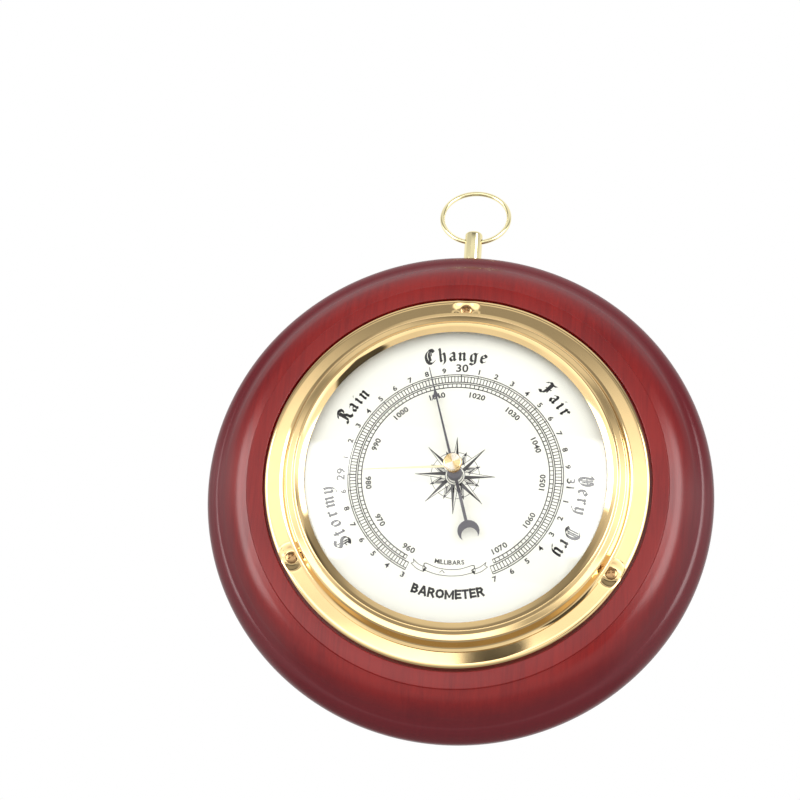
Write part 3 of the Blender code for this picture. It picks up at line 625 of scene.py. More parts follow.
# ---------------------------------------------------------------- the mount
class BAROMETER_OT_mount(Operator):
    """Turned mahogany mount with its step, moulding and round rim"""
    bl_idname = "barometer.mount"
    bl_label = "Mahogany mount"

    def execute(self, context):
        sizes = context.scene.barometer_sizes
        edge = arc((sizes.mount_radius - RIM_BEAD, STEM_Z), RIM_BEAD, 73, -75, 40)
        heel, bore, floor = (94.6, -27.5), (66.4, -27.5), (66.4, -5.2)
        front = rounded(in_mm((77.2, -2.4, 0.35), (83.5, -2.6, 0.25), (83.8, -3.2, 0.2), (87.6, -4.1, 14),
                              (91.0, -6.0, 9), (93.8, -8.5, 0.8), (95.0, -10.75, 0.8),
                              (*heel, 0), (*bore, 0)))
        face = [point for point in front if point[1] > -10.3 * MM]
        back = rounded([(*edge[-2], 0)] + in_mm((*heel, 0.5), (*bore, 0.4), (*floor, 0.3), (77.2, -5.2, 0.2))
                       + [(*face[0], 0)])
        back = [point for point in back if point not in (edge[-2], face[0])]
        mesh = to_mesh(lathe(face + edge + back, sizes.turning_steps), "mount_turning")
        seat = lathe(in_mm((0, 0), (4.0, 0), (4.0, 20), (0, 20)), 48)
        place = FACE @ Matrix.Translation((0, STEM_FOOT, STEM_Z)) @ Matrix.Rotation(-math.pi / 2, 4, "X")
        mesh = drill(mesh, [to_mesh(seat, "seat", place)], "mount_turning")
        soften(mesh, 40)
        new_piece("mahogany_mount", mesh, "case", finish("mahogany"), ("wood_mount",))
        return {"FINISHED"}


# ---------------------------------------------------------------- the brass case
def screw_centres():
    for number in (1, 2, 3):
        low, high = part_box(f"flange_screw_{number}")
        spot = FACE.inverted() @ ((low + high) / 2)
        yield number, Vector((spot.x, spot.y))


class BAROMETER_OT_case(Operator):
    """Spun brass case with its flange drawn in around the three screws"""
    bl_idname = "barometer.case"
    bl_label = "Flanged case"

    def execute(self, context):
        sizes = context.scene.barometer_sizes
        rim = sizes.flange_radius
        path = in_mm((65.0, -24.9), (65.0, -10.0), (65.0, -3.0))
        path += arc((65.9 * MM, FLANGE_FACE - FLANGE_SHEET), FLANGE_SHEET, 180, 90, 6)
        path += [((67.0 + 0.5 * i) * MM, FLANGE_FACE) for i in range(15)]
        shoulder = arc((rim - 1.4 * MM, FLANGE_FACE - 1.9 * MM), 1.9 * MM, 88, 30, 10)
        path += [point for point in shoulder if point[0] <= rim]
        path += [(rim, -3.3 * MM), (rim, -4.9 * MM)]
        centres = [centre for _, centre in screw_centres()]

        def draw_in(point):
            for centre in centres:
                away = (Vector(point[:2]) - centre).length
                if away < DIMPLE_OUTER and point.z > -3.4 * MM:
                    out = max(away - DIMPLE_INNER, 0) / (DIMPLE_OUTER - DIMPLE_INNER)
                    point.z -= sizes.dimple_depth * (0.5 + 0.5 * math.cos(math.pi * min(out, 1)))
            return point

        builder = lathe(sheet_outline(path, FLANGE_SHEET), sizes.turning_steps * 2, draw_in)
        mesh = to_mesh(builder, "flanged_case_turning")
        hole = in_mm((0, -0.5), (2.6, -0.5), (1.85, -1.8), (1.85, -4), (0, -4))
        tools = [to_mesh(lathe(hole, 32), "hole", FACE @ Matrix.Translation((centre.x, centre.y, 0)))
                 for centre in centres]
        mesh = drill(mesh, tools, "flanged_case_turning")
        soften(mesh, 40)
        new_piece("brass_case", mesh, "case", finish("polished_brass"), ("flanged_case",))
        return {"FINISHED"}


class BAROMETER_OT_bezel(Operator):
    """Spun bezel that holds the glass"""
    bl_idname = "barometer.bezel"
    bl_label = "Bezel"

    def execute(self, context):
        closed = rounded(in_mm((59.6, 3.95, 0.0), (61.6, 4.8, 2.0), (63.15, 5.3, 0.7), (64.25, 4.25, 0.6),
                               (66.5, 4.2, 0.6), (67.1, 3.7, 0.5), (68.5, -0.1, 0.9), (69.9, -0.45, 0.0),
                               (60, -20, 0)), 8.0)
        # the last corner only closes the outline, and is not part of the sheet
        path = [point for point in closed if point[1] > -10 * MM]
        outline = sheet_outline(path, BEZEL_SHEET)
        mesh = to_mesh(lathe(outline, context.scene.barometer_sizes.turning_steps), "bezel_turning", angle=50)
        new_piece("brass_bezel", mesh, "case", finish("polished_brass"), ("bezel_ring",))
        return {"FINISHED"}


class BAROMETER_OT_glass(Operator):
    """Domed glass with a hole for the setting spindle"""
    bl_idname = "barometer.glass"
    bl_label = "Domed glass"

    def execute(self, context):
        sphere, apex, thick = 158.3 * MM, 15.0 * MM, 1.5 * MM
        hole, edge, rings = 2.2 * MM, 62.2 * MM, 40
        stations = [hole + (edge - hole) * i / rings for i in range(rings + 1)]

        def dome(radius, stops):
            return [(r, apex - sphere + math.sqrt(radius ** 2 - r ** 2)) for r in stops]

        outline = dome(sphere, stations) + dome(sphere - thick, stations[::-1])
        mesh = to_mesh(lathe(outline, context.scene.barometer_sizes.turning_steps), "glass_dome")
        new_piece("domed_glass", mesh, "case", finish("glass"), ("glass",))
        return {"FINISHED"}


class BAROMETER_OT_screws(Operator):
    """Cross-head brass screws in the flange"""
    bl_idname = "barometer.screws"
    bl_label = "Flange screws"

    def execute(self, context):
        top = SCREW_TOP
        head = [(r * MM, top - drop * MM) for r, drop in ((0, 0), (0.9, 0.03), (1.6, 0.14), (2.15, 0.34),
                                                          (2.35, 0.5), (2.3, 0.62))]
        head += in_mm((1.3, -2.6), (1.3, -13.5), (0, -15.0))
        wide, long = 0.36 * MM, 1.45 * MM
        for number, centre in screw_centres():
            place = FACE @ Matrix.Translation((centre.x, centre.y, 0))
            mesh = to_mesh(lathe(head, 48), "screw", place)
            tools = []
            for arm in range(2):
                cutter = bmesh.new()
                prism(cutter, [(-wide, -long), (wide, -long), (wide, long), (-wide, long)],
                      top - 0.95 * MM, top + 1 * MM)
                turn = Matrix.Rotation(math.radians(24 + 90 * arm + 37 * number), 4, "Z")
                tools.append(to_mesh(cutter, "cross", place @ turn))
            mesh = drill(mesh, tools, "screw")
            soften(mesh, 35)
            new_piece(f"cross_head_screw_{number}", mesh, "case",
                      finish("screw_brass"), (f"flange_screw_{number}",))
        return {"FINISHED"}


# ---------------------------------------------------------------- hanging stem and ring
class BAROMETER_OT_hanger(Operator):
    """Brass stem on the rim, and the ring that swings in it"""
    bl_idname = "barometer.hanger"
    bl_label = "Stem and ring"

    def execute(self, context):
        sizes = context.scene.barometer_sizes
        low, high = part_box("hanging_stem")
        radius = half_width("hanging_stem")
        foot, top = low.z - CENTRE.z, high.z - CENTRE.z
        outline = rounded([(0, top, 0), (radius, top, 1.3 * MM), (radius, foot, 0.2 * MM), (0, foot, 0)], 7.0)
        stand = FACE @ Matrix.Translation((0, 0, STEM_Z)) @ Matrix.Rotation(-math.pi / 2, 4, "X")
        mesh = to_mesh(lathe(outline, 96), "stem", stand)
        bore = lathe(in_mm((0, -6), (1.55, -6), (1.55, 6), (0, 6)), 48)
        across = Matrix.Translation(RING_HINGE) @ Matrix.Rotation(math.pi / 2, 4, "Y")
        mesh = drill(mesh, [to_mesh(bore, "bore", across)], "stem")
        soften(mesh, 40)
        # painted light: the stem and ring take the paler brass that stands in for the brighter light they
        # reflect
        new_piece("brass_stem", mesh, "case", finish("light_brass"), ("hanging_stem",))
        ring_low, ring_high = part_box("hanging_ring")
        lean = math.atan2((ring_high.y + ring_low.y) / 2 - RING_HINGE.y,
                          (ring_high.z + ring_low.z) / 2 - RING_HINGE.z)
        builder = lathe(arc((sizes.ring_radius, 0), sizes.ring_wire, 0, 345, 23), 160)
        place = (Matrix.Translation(RING_HINGE) @ Matrix.Rotation(-lean, 4, "X")
                 @ Matrix.Translation((0, 0, sizes.ring_radius - RING_SAG))
                 @ Matrix.Rotation(math.pi / 2, 4, "X"))
        mesh = to_mesh(builder, "ring", place)
        new_piece("brass_ring", mesh, "ring", finish("light_brass"), ("hanging_ring",))
        return {"FINISHED"}


# ---------------------------------------------------------------- lettering
INK_LOW = -0.01 * MM
INK_HIGH = 0.03 * MM
GLYPHS = {}


def glyph(letter, weight=0.0):
    """One upright letter as (mesh vertices, faces, width), capital height 1, centred on its middle."""
    key = (letter, weight)
    if key in GLYPHS:
        return GLYPHS[key]
    curve = bpy.data.curves.new("letter", "FONT")
    curve.body = letter
    curve.size = 1.0
    curve.resolution_u = 4
    curve.offset = weight
    curve.extrude = 0.5
    holder = add_object("letter", curve)
    mesh = evaluated_mesh(holder)
    bpy.data.objects.remove(holder)
    # capital height of the built-in face is 0.73 of its size
    tall = 0.73
    xs = [v.co.x for v in mesh.vertices]
    middle = (max(xs) + min(xs)) / 2
    points = [((v.co.x - middle) / tall, (v.co.y / tall) - 0.5, v.co.z) for v in mesh.vertices]
    faces = [tuple(p.vertices) for p in mesh.polygons]
    result = (points, faces, (max(xs) - min(xs)) / tall)
    bpy.data.meshes.remove(mesh)
    GLYPHS[key] = result
    return result


def stamp(builder, letter, radius, angle, height, weight=0.0, stretch=1.0, inward=False):
    """Adds one letter to the print, its top outward, or inward when the reader would see it upside down."""
    points, faces, _ = glyph(letter, weight)
    turn = -math.radians(angle) + (math.pi if inward else 0.0)
    x0, y0 = on_dial(radius, angle)
    made = []
    for x, y, z in points:
        across, up = x * height * stretch, y * height
        depth = INK_HIGH if z > 0 else INK_LOW
        made.append(builder.verts.new((x0 + across * math.cos(turn) - up * math.sin(turn),
                                       y0 + across * math.sin(turn) + up * math.cos(turn), depth)))
    for face in faces:
        try:
            builder.faces.new([made[i] for i in face])
        except ValueError:
            continue


def arc_text(builder, text, radius, angle, height, gap, weight=0.0, stretch=1.0, inward=False, even=0.0):
    """Letters side by side on an arc. even gives every letter the same room."""
    widths = [even or glyph(letter, weight)[2] * height * stretch if letter != " " else height * 0.4
              for letter in text]
    whole = sum(widths) + gap * (len(text) - 1)
    along = -whole / 2
    for letter, width in zip(text, widths):
        turn = math.degrees((along + width / 2) / radius)
        if letter != " ":
            turned = angle - turn if inward else angle + turn
            stamp(builder, letter, radius, turned, height, weight, stretch, inward)
        along += width + gap


def line(builder, points, width):
    """A thin printed line through points, one closed bar for each stretch."""
    for (x0, y0), (x1, y1) in zip(points, points[1:]):
        along = Vector((x1 - x0, y1 - y0))
        if along.length < 1e-7:
            continue
        along.normalize()
        side = Vector((-along.y, along.x)) * (width / 2)
        more = along * (width * 0.3)
        a, b = Vector((x0, y0)) - more, Vector((x1, y1)) + more
        prism(builder, [a - side, b - side, b + side, a + side], INK_LOW, INK_HIGH)


def band(builder, inner, outer, first=0.0, last=360.0, steps=360):
    """A printed ring, or part of one when first and last are given."""
    whole = abs(last - first) >= 359.9
    count = steps if whole else max(2, round(steps * abs(last - first) / 360))
    columns = []
    for i in range(count if whole else count + 1):
        a = first + (last - first) * i / count
        inner_x, inner_y = on_dial(inner, a)
        outer_x, outer_y = on_dial(outer, a)
        columns.append([builder.verts.new(p) for p in
                        ((inner_x, inner_y, INK_LOW), (outer_x, outer_y, INK_LOW),
                         (outer_x, outer_y, INK_HIGH), (inner_x, inner_y, INK_HIGH))])
    pairs = list(zip(columns, columns[1:] + columns[:1])) if whole else list(zip(columns, columns[1:]))
    for here, there in pairs:
        for i in range(4):
            j = (i + 1) % 4
            builder.faces.new((here[i], there[i], there[j], here[j]))
    if not whole:
        builder.faces.new(columns[0])
        builder.faces.new(columns[-1][::-1])


# block letters: (width, strokes) on a height of 1, each stroke the middle of a heavy bar
BLOCK = {
    "B": (0.8, [[(0.12, 0), (0.12, 1)], [(0.12, 0.9), (0.48, 0.9), (0.6, 0.73), (0.48, 0.54), (0.12, 0.54)],
                [(0.48, 0.54), (0.68, 0.32), (0.5, 0.1), (0.12, 0.1)]]),
    "A": (0.92, [[(0.1, 0), (0.42, 0.96), (0.5, 0.96), (0.82, 0)], [(0.24, 0.3), (0.68, 0.3)]]),
    "R": (0.84, [[(0.12, 0), (0.12, 1)], [(0.12, 0.9), (0.52, 0.9), (0.66, 0.7), (0.52, 0.48), (0.12, 0.48)],
                 [(0.42, 0.48), (0.74, 0)]]),
    "O": (0.94, [[(0.47, 0.9), (0.2, 0.8), (0.11, 0.5), (0.2, 0.2), (0.47, 0.1), (0.74, 0.2), (0.83, 0.5),
                  (0.74, 0.8), (0.47, 0.9)]]),
    "M": (1.06, [[(0.12, 0), (0.12, 0.9)], [(0.94, 0), (0.94, 0.9)],
                 [(0.14, 0.9), (0.53, 0.16), (0.92, 0.9)]]),
    "E": (0.72, [[(0.12, 0), (0.12, 1)], [(0.12, 0.9), (0.66, 0.9)], [(0.12, 0.51), (0.6, 0.51)],
                 [(0.12, 0.1), (0.68, 0.1)]]),
    "T": (0.78, [[(0.39, 0), (0.39, 0.9)], [(0.06, 0.9), (0.72, 0.9)]]),
}


def block_text(builder, text, radius, height, gap):
    """Heavy capitals along the bottom of the dial, their feet outward."""
    widths = [BLOCK[letter][0] * height for letter in text]
    along = -(sum(widths) + gap * (len(text) - 1)) / 2
    for letter, width in zip(text, widths):
        turn = (along + width / 2) / radius
        for stroke in BLOCK[letter][1]:
            points = []
            for x, y in stroke:
                across = x * height - width / 2
                out = radius + (0.5 - y) * height
                points.append((out * math.sin(turn) + across * math.cos(turn),
                               -out * math.cos(turn) + across * math.sin(turn)))
            upright = letter == "M" and len(stroke) == 3
            line(builder, points, height * (0.18 if upright else 0.25))
        along += width + gap


# broad-nib letters: each is a set of strokes on an x-height of 1
def minim(x, top=0.92, foot=0.06):
    return [(x - 0.12, top), (x, top - 0.13), (x, foot + 0.14), (x + 0.12, foot)]


BOWL_LEFT = [(0.34, 0.98), (0.1, 0.76), (0.1, 0.22), (0.34, 0.02)]
BOWL_RIGHT = [(0.34, 0.98), (0.58, 0.78), (0.58, 0.24), (0.34, 0.02)]
BLACKLETTER = {
    "a": (0.66, [[(0.08, 0.8), (0.3, 0.98), (0.52, 0.82), (0.52, 0.18), (0.66, 0.05)],
                 [(0.5, 0.6), (0.1, 0.42), (0.1, 0.18), (0.28, 0.02), (0.5, 0.2)]]),
    "e": (0.6, [BOWL_LEFT + [(0.58, 0.2)], [(0.34, 0.98), (0.56, 0.8), (0.5, 0.62), (0.12, 0.5)]]),
    "g": (0.66, [BOWL_LEFT + [(0.56, 0.2)],
                 [(0.34, 0.98), (0.56, 0.82), (0.58, -0.12), (0.36, -0.38), (0.04, -0.26)],
                 [(0.5, 0.9), (0.76, 0.96)]]),
    "h": (0.68, [[(0.02, 1.56), (0.14, 1.42), (0.14, 0.2), (0.26, 0.05)],
                 [(0.16, 0.74), (0.46, 0.98), (0.6, 0.8), (0.6, 0.06), (0.5, -0.2), (0.36, -0.34)]]),
    "i": (0.3, [minim(0.15), [(0.1, 1.3), (0.2, 1.36)]]),
    "m": (1.16, [minim(0.14), minim(0.58), minim(1.02), [(0.16, 0.74), (0.48, 0.96)],
                 [(0.6, 0.74), (0.92, 0.96)]]),
    "n": (0.72, [minim(0.14), minim(0.6), [(0.16, 0.74), (0.5, 0.96)]]),
    "o": (0.68, [BOWL_LEFT, BOWL_RIGHT]),
    "r": (0.56, [minim(0.14), [(0.16, 0.7), (0.36, 0.96), (0.54, 0.82)]]),
    "t": (0.44, [[(0.18, 1.24), (0.16, 1.0), (0.16, 0.2), (0.3, 0.03), (0.46, 0.16)],
                 [(-0.04, 0.86), (0.42, 0.92)]]),
    "y": (0.7, [[(0.0, 0.94), (0.12, 0.82), (0.12, 0.24), (0.32, 0.04), (0.56, 0.24)],
                [(0.46, 0.98), (0.58, 0.84), (0.58, 0.1), (0.38, -0.24), (0.04, -0.42)]]),
    "S": (0.95, [[(0.95, 1.3), (0.7, 1.52), (0.34, 1.5), (0.12, 1.22), (0.3, 0.96), (0.68, 0.78), (0.88, 0.48),
                  (0.78, 0.14), (0.42, 0.0), (0.02, 0.2)],
                 [(0.52, 1.36), (0.48, 0.2)], [(0.3, 1.2), (0.28, 0.24)], [(0.0, 0.52), (0.3, 0.62)]]),
    "R": (1.0, [[(-0.04, 1.16), (0.12, 1.44), (0.5, 1.56), (0.82, 1.34), (0.72, 0.98), (0.36, 0.8)],
                [(0.3, 1.44), (0.3, 0.3), (0.12, 0.06), (-0.1, 0.14)], [(0.5, 1.36), (0.5, 0.94)],
                [(0.42, 0.82), (0.66, 0.6), (0.7, 0.2), (0.98, 0.04)]]),
    "C": (1.0, [[(0.98, 1.24), (0.8, 1.52), (0.42, 1.46), (0.14, 1.1), (0.08, 0.6), (0.24, 0.16), (0.56, 0.0),
                 (0.98, 0.26)],
                [(0.56, 1.4), (0.44, 1.0), (0.48, 0.3)], [(0.72, 1.4), (0.66, 0.86)]]),
    "F": (1.0, [[(-0.06, 1.2), (0.2, 1.5), (0.6, 1.42), (1.0, 1.52)],
                [(0.46, 1.4), (0.42, 0.4), (0.24, 0.06), (-0.1, 0.18)], [(0.66, 1.36), (0.64, 0.4)],
                [(0.2, 0.78), (0.88, 0.86)]]),
    "V": (1.0, [[(-0.04, 1.22), (0.16, 1.5), (0.22, 1.2), (0.14, 0.4), (0.46, 0.0), (0.84, 0.3), (0.94, 0.96),
                 (0.72, 1.5)], [(0.46, 1.44), (0.46, 0.24)], [(0.64, 1.36), (0.64, 0.36)],
                [(0.3, 0.8), (0.8, 0.88)]]),
    "D": (1.02, [[(-0.02, 1.3), (0.4, 1.54), (0.82, 1.26), (0.94, 0.76), (0.82, 0.26), (0.42, 0.0),
                  (0.02, 0.2)],
                 [(0.22, 1.3), (0.22, 0.3)], [(0.44, 1.4), (0.44, 0.2)], [(0.62, 1.3), (0.62, 0.3)]]),
}
NIB = Vector((math.cos(math.radians(38)), math.sin(math.radians(38)))) * 0.128


def flow(points, pieces=4):
    """A smooth run of points through the given ones."""
    if len(points) < 3:
        return [Vector(p) for p in points]
    ends = [points[0]] + list(points) + [points[-1]]
    out = []
    for i in range(1, len(ends) - 2):
        p0, p1, p2, p3 = (Vector(p) for p in ends[i - 1:i + 3])
        for k in range(pieces):
            t = k / pieces
            out.append(0.5 * (2 * p1 + (p2 - p0) * t + (2 * p0 - 5 * p1 + 4 * p2 - p3) * t * t
                              + (3 * p1 - p0 - 3 * p2 + p3) * t ** 3))
    out.append(Vector(points[-1]))
    return out


def pen_letter(builder, letter, radius, angle, height):
    """One broad-nib letter, its foot towards the dial's centre."""
    width, strokes = BLACKLETTER[letter]
    capital = letter.isupper()
    base = Vector(on_dial(radius, angle))
    shift = Vector((-width / 2, -0.5))

    def settle(point):
        x, y = (point + shift) * height
        a = math.radians(angle)
        return (base.x + x * math.cos(a) + y * math.sin(a), base.y - x * math.sin(a) + y * math.cos(a))

    for number, stroke in enumerate(strokes):
        thin = capital and number > 0 and len(stroke) == 2
        nib = NIB * (0.42 if thin else (1.08 if capital else 1.0))
        path = flow(stroke)
        for p, q in zip(path, path[1:]):
            along = q - p
            if along.length < 1e-6:
                continue
            side = Vector((-along.y, along.x)).normalized() * 0.03
            if side.dot(nib) < 0:
                side = -side
            reach = nib + side
            lead = along.normalized() * 0.02
            corners = [p - lead - reach, q + lead - reach, q + lead + reach, p - lead + reach]
            prism(builder, [settle(c) for c in corners], INK_LOW, INK_HIGH)


# ---------------------------------------------------------------- the dial
INCH = 92.0            # degrees for one inch of mercury
MILLIBAR = INCH / 33.8639
MILLIBARS_AT_TOP = 30 * 33.8639
SCALE_END = 156.4      # degrees from 12 o'clock to either end of a scale
MILLIBAR_END = 153.7
# radii of the printed rings, in millimetres
INCH_OUTER, INCH_TENTHS, INCH_INNER = 42.5, 41.75, 39.3
MILLIBAR_OUTER, MILLIBAR_INNER = 38.6, 37.1
WORD_RADIUS = 50.4 * MM
# each letter of the weather words with its angle on the dial
WORDS = (("S", -124.8), ("t", -120.1), ("o", -115.6), ("r", -110.8), ("m", -105.2), ("y", -99.6),
         ("R", -63.2), ("a", -57.9), ("i", -54.0), ("n", -50.2),
         ("C", -15.0), ("h", -9.4), ("a", -4.7), ("n", -0.3), ("g", 4.9), ("e", 9.6),
         ("F", 42.7), ("a", 48.1), ("i", 52.4), ("r", 56.2),
         ("V", 90.1), ("e", 95.4), ("r", 99.5), ("y", 103.9),
         ("D", 114.8), ("r", 120.3), ("y", 124.9))


class BAROMETER_OT_dial(Operator):
    """Ivory dial with its scales, numbers, weather words, rose and ribbon"""
    bl_idname = "barometer.dial"
    bl_label = "Dial and print"

    def execute(self, context):
        paint("dial_plate", finish("dial"))
        ink = finish("print")
        for draw in (self.scales, self.numbers, self.words, self.rose, self.ribbon):
            draw(ink)
        return {"FINISHED"}

    def keep(self, name, mesh, ink):
        new_piece(name, mesh, "case", ink)

    def scales(self, ink):
        builder = bmesh.new()
        for radius, width, end in ((INCH_OUTER, 0.36, SCALE_END), (INCH_TENTHS, 0.32, SCALE_END),
                                   (INCH_INNER, 0.38, SCALE_END), (MILLIBAR_OUTER, 0.38, MILLIBAR_END),
                                   (MILLIBAR_INNER, 0.4, MILLIBAR_END)):
            band(builder, (radius - width / 2) * MM, (radius + width / 2) * MM, -end, end)
        for end, inner, outer in ((SCALE_END, INCH_INNER, INCH_OUTER),
                                  (MILLIBAR_END, MILLIBAR_INNER, MILLIBAR_OUTER)):
            for side in (-1, 1):
                line(builder, [on_dial(inner * MM, side * end), on_dial(outer * MM, side * end)], 0.2 * MM)
        self.keep("dial_scale_lines", to_mesh(builder, "scale_lines", outward=False), ink)
        pattern = ticks_pattern(ink)
        # every 0.02 inch, then the tenths on through the double line, then the halves in heavy bars
        lowest = (960 - MILLIBARS_AT_TOP) * MILLIBAR
        millibars = (MILLIBAR_INNER, MILLIBAR_OUTER)
        runs = (("dial_fine_ticks", 169, -1.68 * INCH, 0.02 * INCH, (INCH_INNER, INCH_TENTHS), 0.31),
                ("dial_tenth_ticks", 35, -1.7 * INCH, 0.1 * INCH, (INCH_TENTHS, INCH_OUTER), 0.24),
                ("dial_half_ticks", 7, -1.5 * INCH, 0.5 * INCH, (INCH_INNER, INCH_OUTER), 0.42),
                ("dial_millibar_ticks", 113, lowest, MILLIBAR, millibars, 0.31),
                ("dial_ten_millibar_ticks", 12, lowest, 10 * MILLIBAR, millibars, 0.4))
        for name, count, first, step, (inner, outer), width in runs:
            mesh = pattern.run(name, {"Count": count, "First Angle": first, "Step Angle": step,
                                      "Inner Radius": inner * MM, "Outer Radius": outer * MM,
                                      "Width": width * MM, "Height": 0.06 * MM})
            mesh.transform(FACE)
            self.keep(name, mesh, ink)

    def numbers(self, ink):
        builder = bmesh.new()
        for tenth in range(-17, 18):
            if tenth % 10 == 0:
                continue
            angle = tenth * 0.1 * INCH
            stamp(builder, str(tenth % 10), 44.5 * MM, angle, 2.1 * MM, 0.03, 1.12, abs(angle) > 93)
        for inches in (29, 30, 31):
            arc_text(builder, str(inches), 45.5 * MM, (inches - 30) * INCH, 3.3 * MM, 0.26 * MM, 0.02, 1.12,
                     even=2.4 * MM)
        for pressure in range(960, 1071, 10):
            angle = (pressure - MILLIBARS_AT_TOP) * MILLIBAR
            arc_text(builder, str(pressure), 34.3 * MM, angle, 2.2 * MM, 0.16 * MM, 0.028, 1.12,
                     abs(angle) > 92, even=1.62 * MM)
        block_text(builder, "BAROMETER", 47.8 * MM, 3.45 * MM, 0.24 * MM)
        arc_text(builder, "MILLIBARS", 35.2 * MM, 180.0, 1.8 * MM, 0.14 * MM, 0.024, 1.0, True)
        self.keep("dial_numbers", to_mesh(builder, "numbers", outward=False), ink)

    def words(self, ink):
        builder = bmesh.new()
        for letter, angle in WORDS:
            pen_letter(builder, letter, WORD_RADIUS, angle, (3.85 if letter.isupper() else 3.6) * MM)
        self.keep("dial_weather_words", to_mesh(builder, "words", outward=False), ink)

    def rose(self, ink):
        builder = bmesh.new()
        for i in range(8):
            long, short = 45.0 * i, 45.0 * i + 22.5
            tip = on_dial(15.75 * MM, long)
            heart = on_dial(3.9 * MM, long)
            for side in (-1, 1):
                shoulder = on_dial(4.15 * MM, long + side * 21)
                if side > 0:
                    prism(builder, [tip, heart, shoulder], INK_LOW, INK_HIGH)
                else:
                    line(builder, [shoulder, tip], 0.2 * MM)
            line(builder, [heart, tip], 0.2 * MM)
            short_tip, knee = on_dial(10.45 * MM, short), 8.9 * MM
            for side in (-1, 1):
                line(builder, [on_dial(5.4 * MM, short + side * 17.5), short_tip], 0.18 * MM)
            line(builder, [on_dial(4.6 * MM, short), short_tip], 0.18 * MM)
            left, right = on_dial(knee, short - 2.6), on_dial(knee, short + 2.6)
            prism(builder, [short_tip, left, right], INK_LOW, INK_HIGH)
            for side in (-1, 1):
                prism(builder, [on_dial(knee, short), on_dial(5.0 * MM, short + side * 5),
                                on_dial(5.6 * MM, short + side * 13)], INK_LOW, INK_HIGH)
        for i in range(8):
            band(builder, 9.46 * MM, 9.66 * MM, 45 * i + 5.0, 45 * i + 40.0)
        for radius in (3.9, 3.1):
            band(builder, (radius - 0.12) * MM, (radius + 0.12) * MM, steps=96)
        self.keep("dial_rose", to_mesh(builder, "rose", outward=False), ink)

    def ribbon(self, ink):
        builder = bmesh.new()
        wide = 0.24 * MM
        curves = ((((0, -38.1), (4.4, -37.6), (8.7, -36.0)), 1.0),
                  (((0, -40.6), (4.6, -40.2), (9.0, -38.9)), 1.0),
                  (((8.7, -36.0), (9.7, -36.1), (9.6, -37.2), (8.8, -37.9), (9.3, -38.6), (9.9, -39.3)), 1.3),
                  (((9.0, -38.9), (9.4, -37.6), (9.9, -37.0), (10.1, -37.8), (9.9, -39.3)), 1.0))
        tails = (((9.9, -37.3), (12.0, -36.4), (14.1, -34.5)), ((9.9, -39.3), (12.4, -38.3), (14.8, -36.3)))
        for side in (-1, 1):
            def at(*pairs):
                return [(side * x * MM, y * MM) for x, y in pairs]

            for points, heavier in curves:
                line(builder, flow(at(*points)), wide * heavier)
            prism(builder, at((9.0, -38.9), (9.35, -37.9), (9.9, -38.2), (9.9, -39.2)), INK_LOW, INK_HIGH)
            for points in tails:
                line(builder, flow(at(*points)), wide)
            line(builder, at((14.1, -34.5), (13.7, -35.7), (14.8, -36.3)), wide)
        mark = 0.9 * MM
        peak = -2.6 * MM
        line(builder, [(-mark + peak, -39.3 * MM), (peak, -38.5 * MM), (mark + peak, -39.5 * MM)], wide)
        self.keep("dial_ribbon", to_mesh(builder, "ribbon", outward=False), ink)


def paint(node, material):
    """Gives a carried-over piece its finish."""
    for slot in NODES[node].material_slots:
        slot.material = material


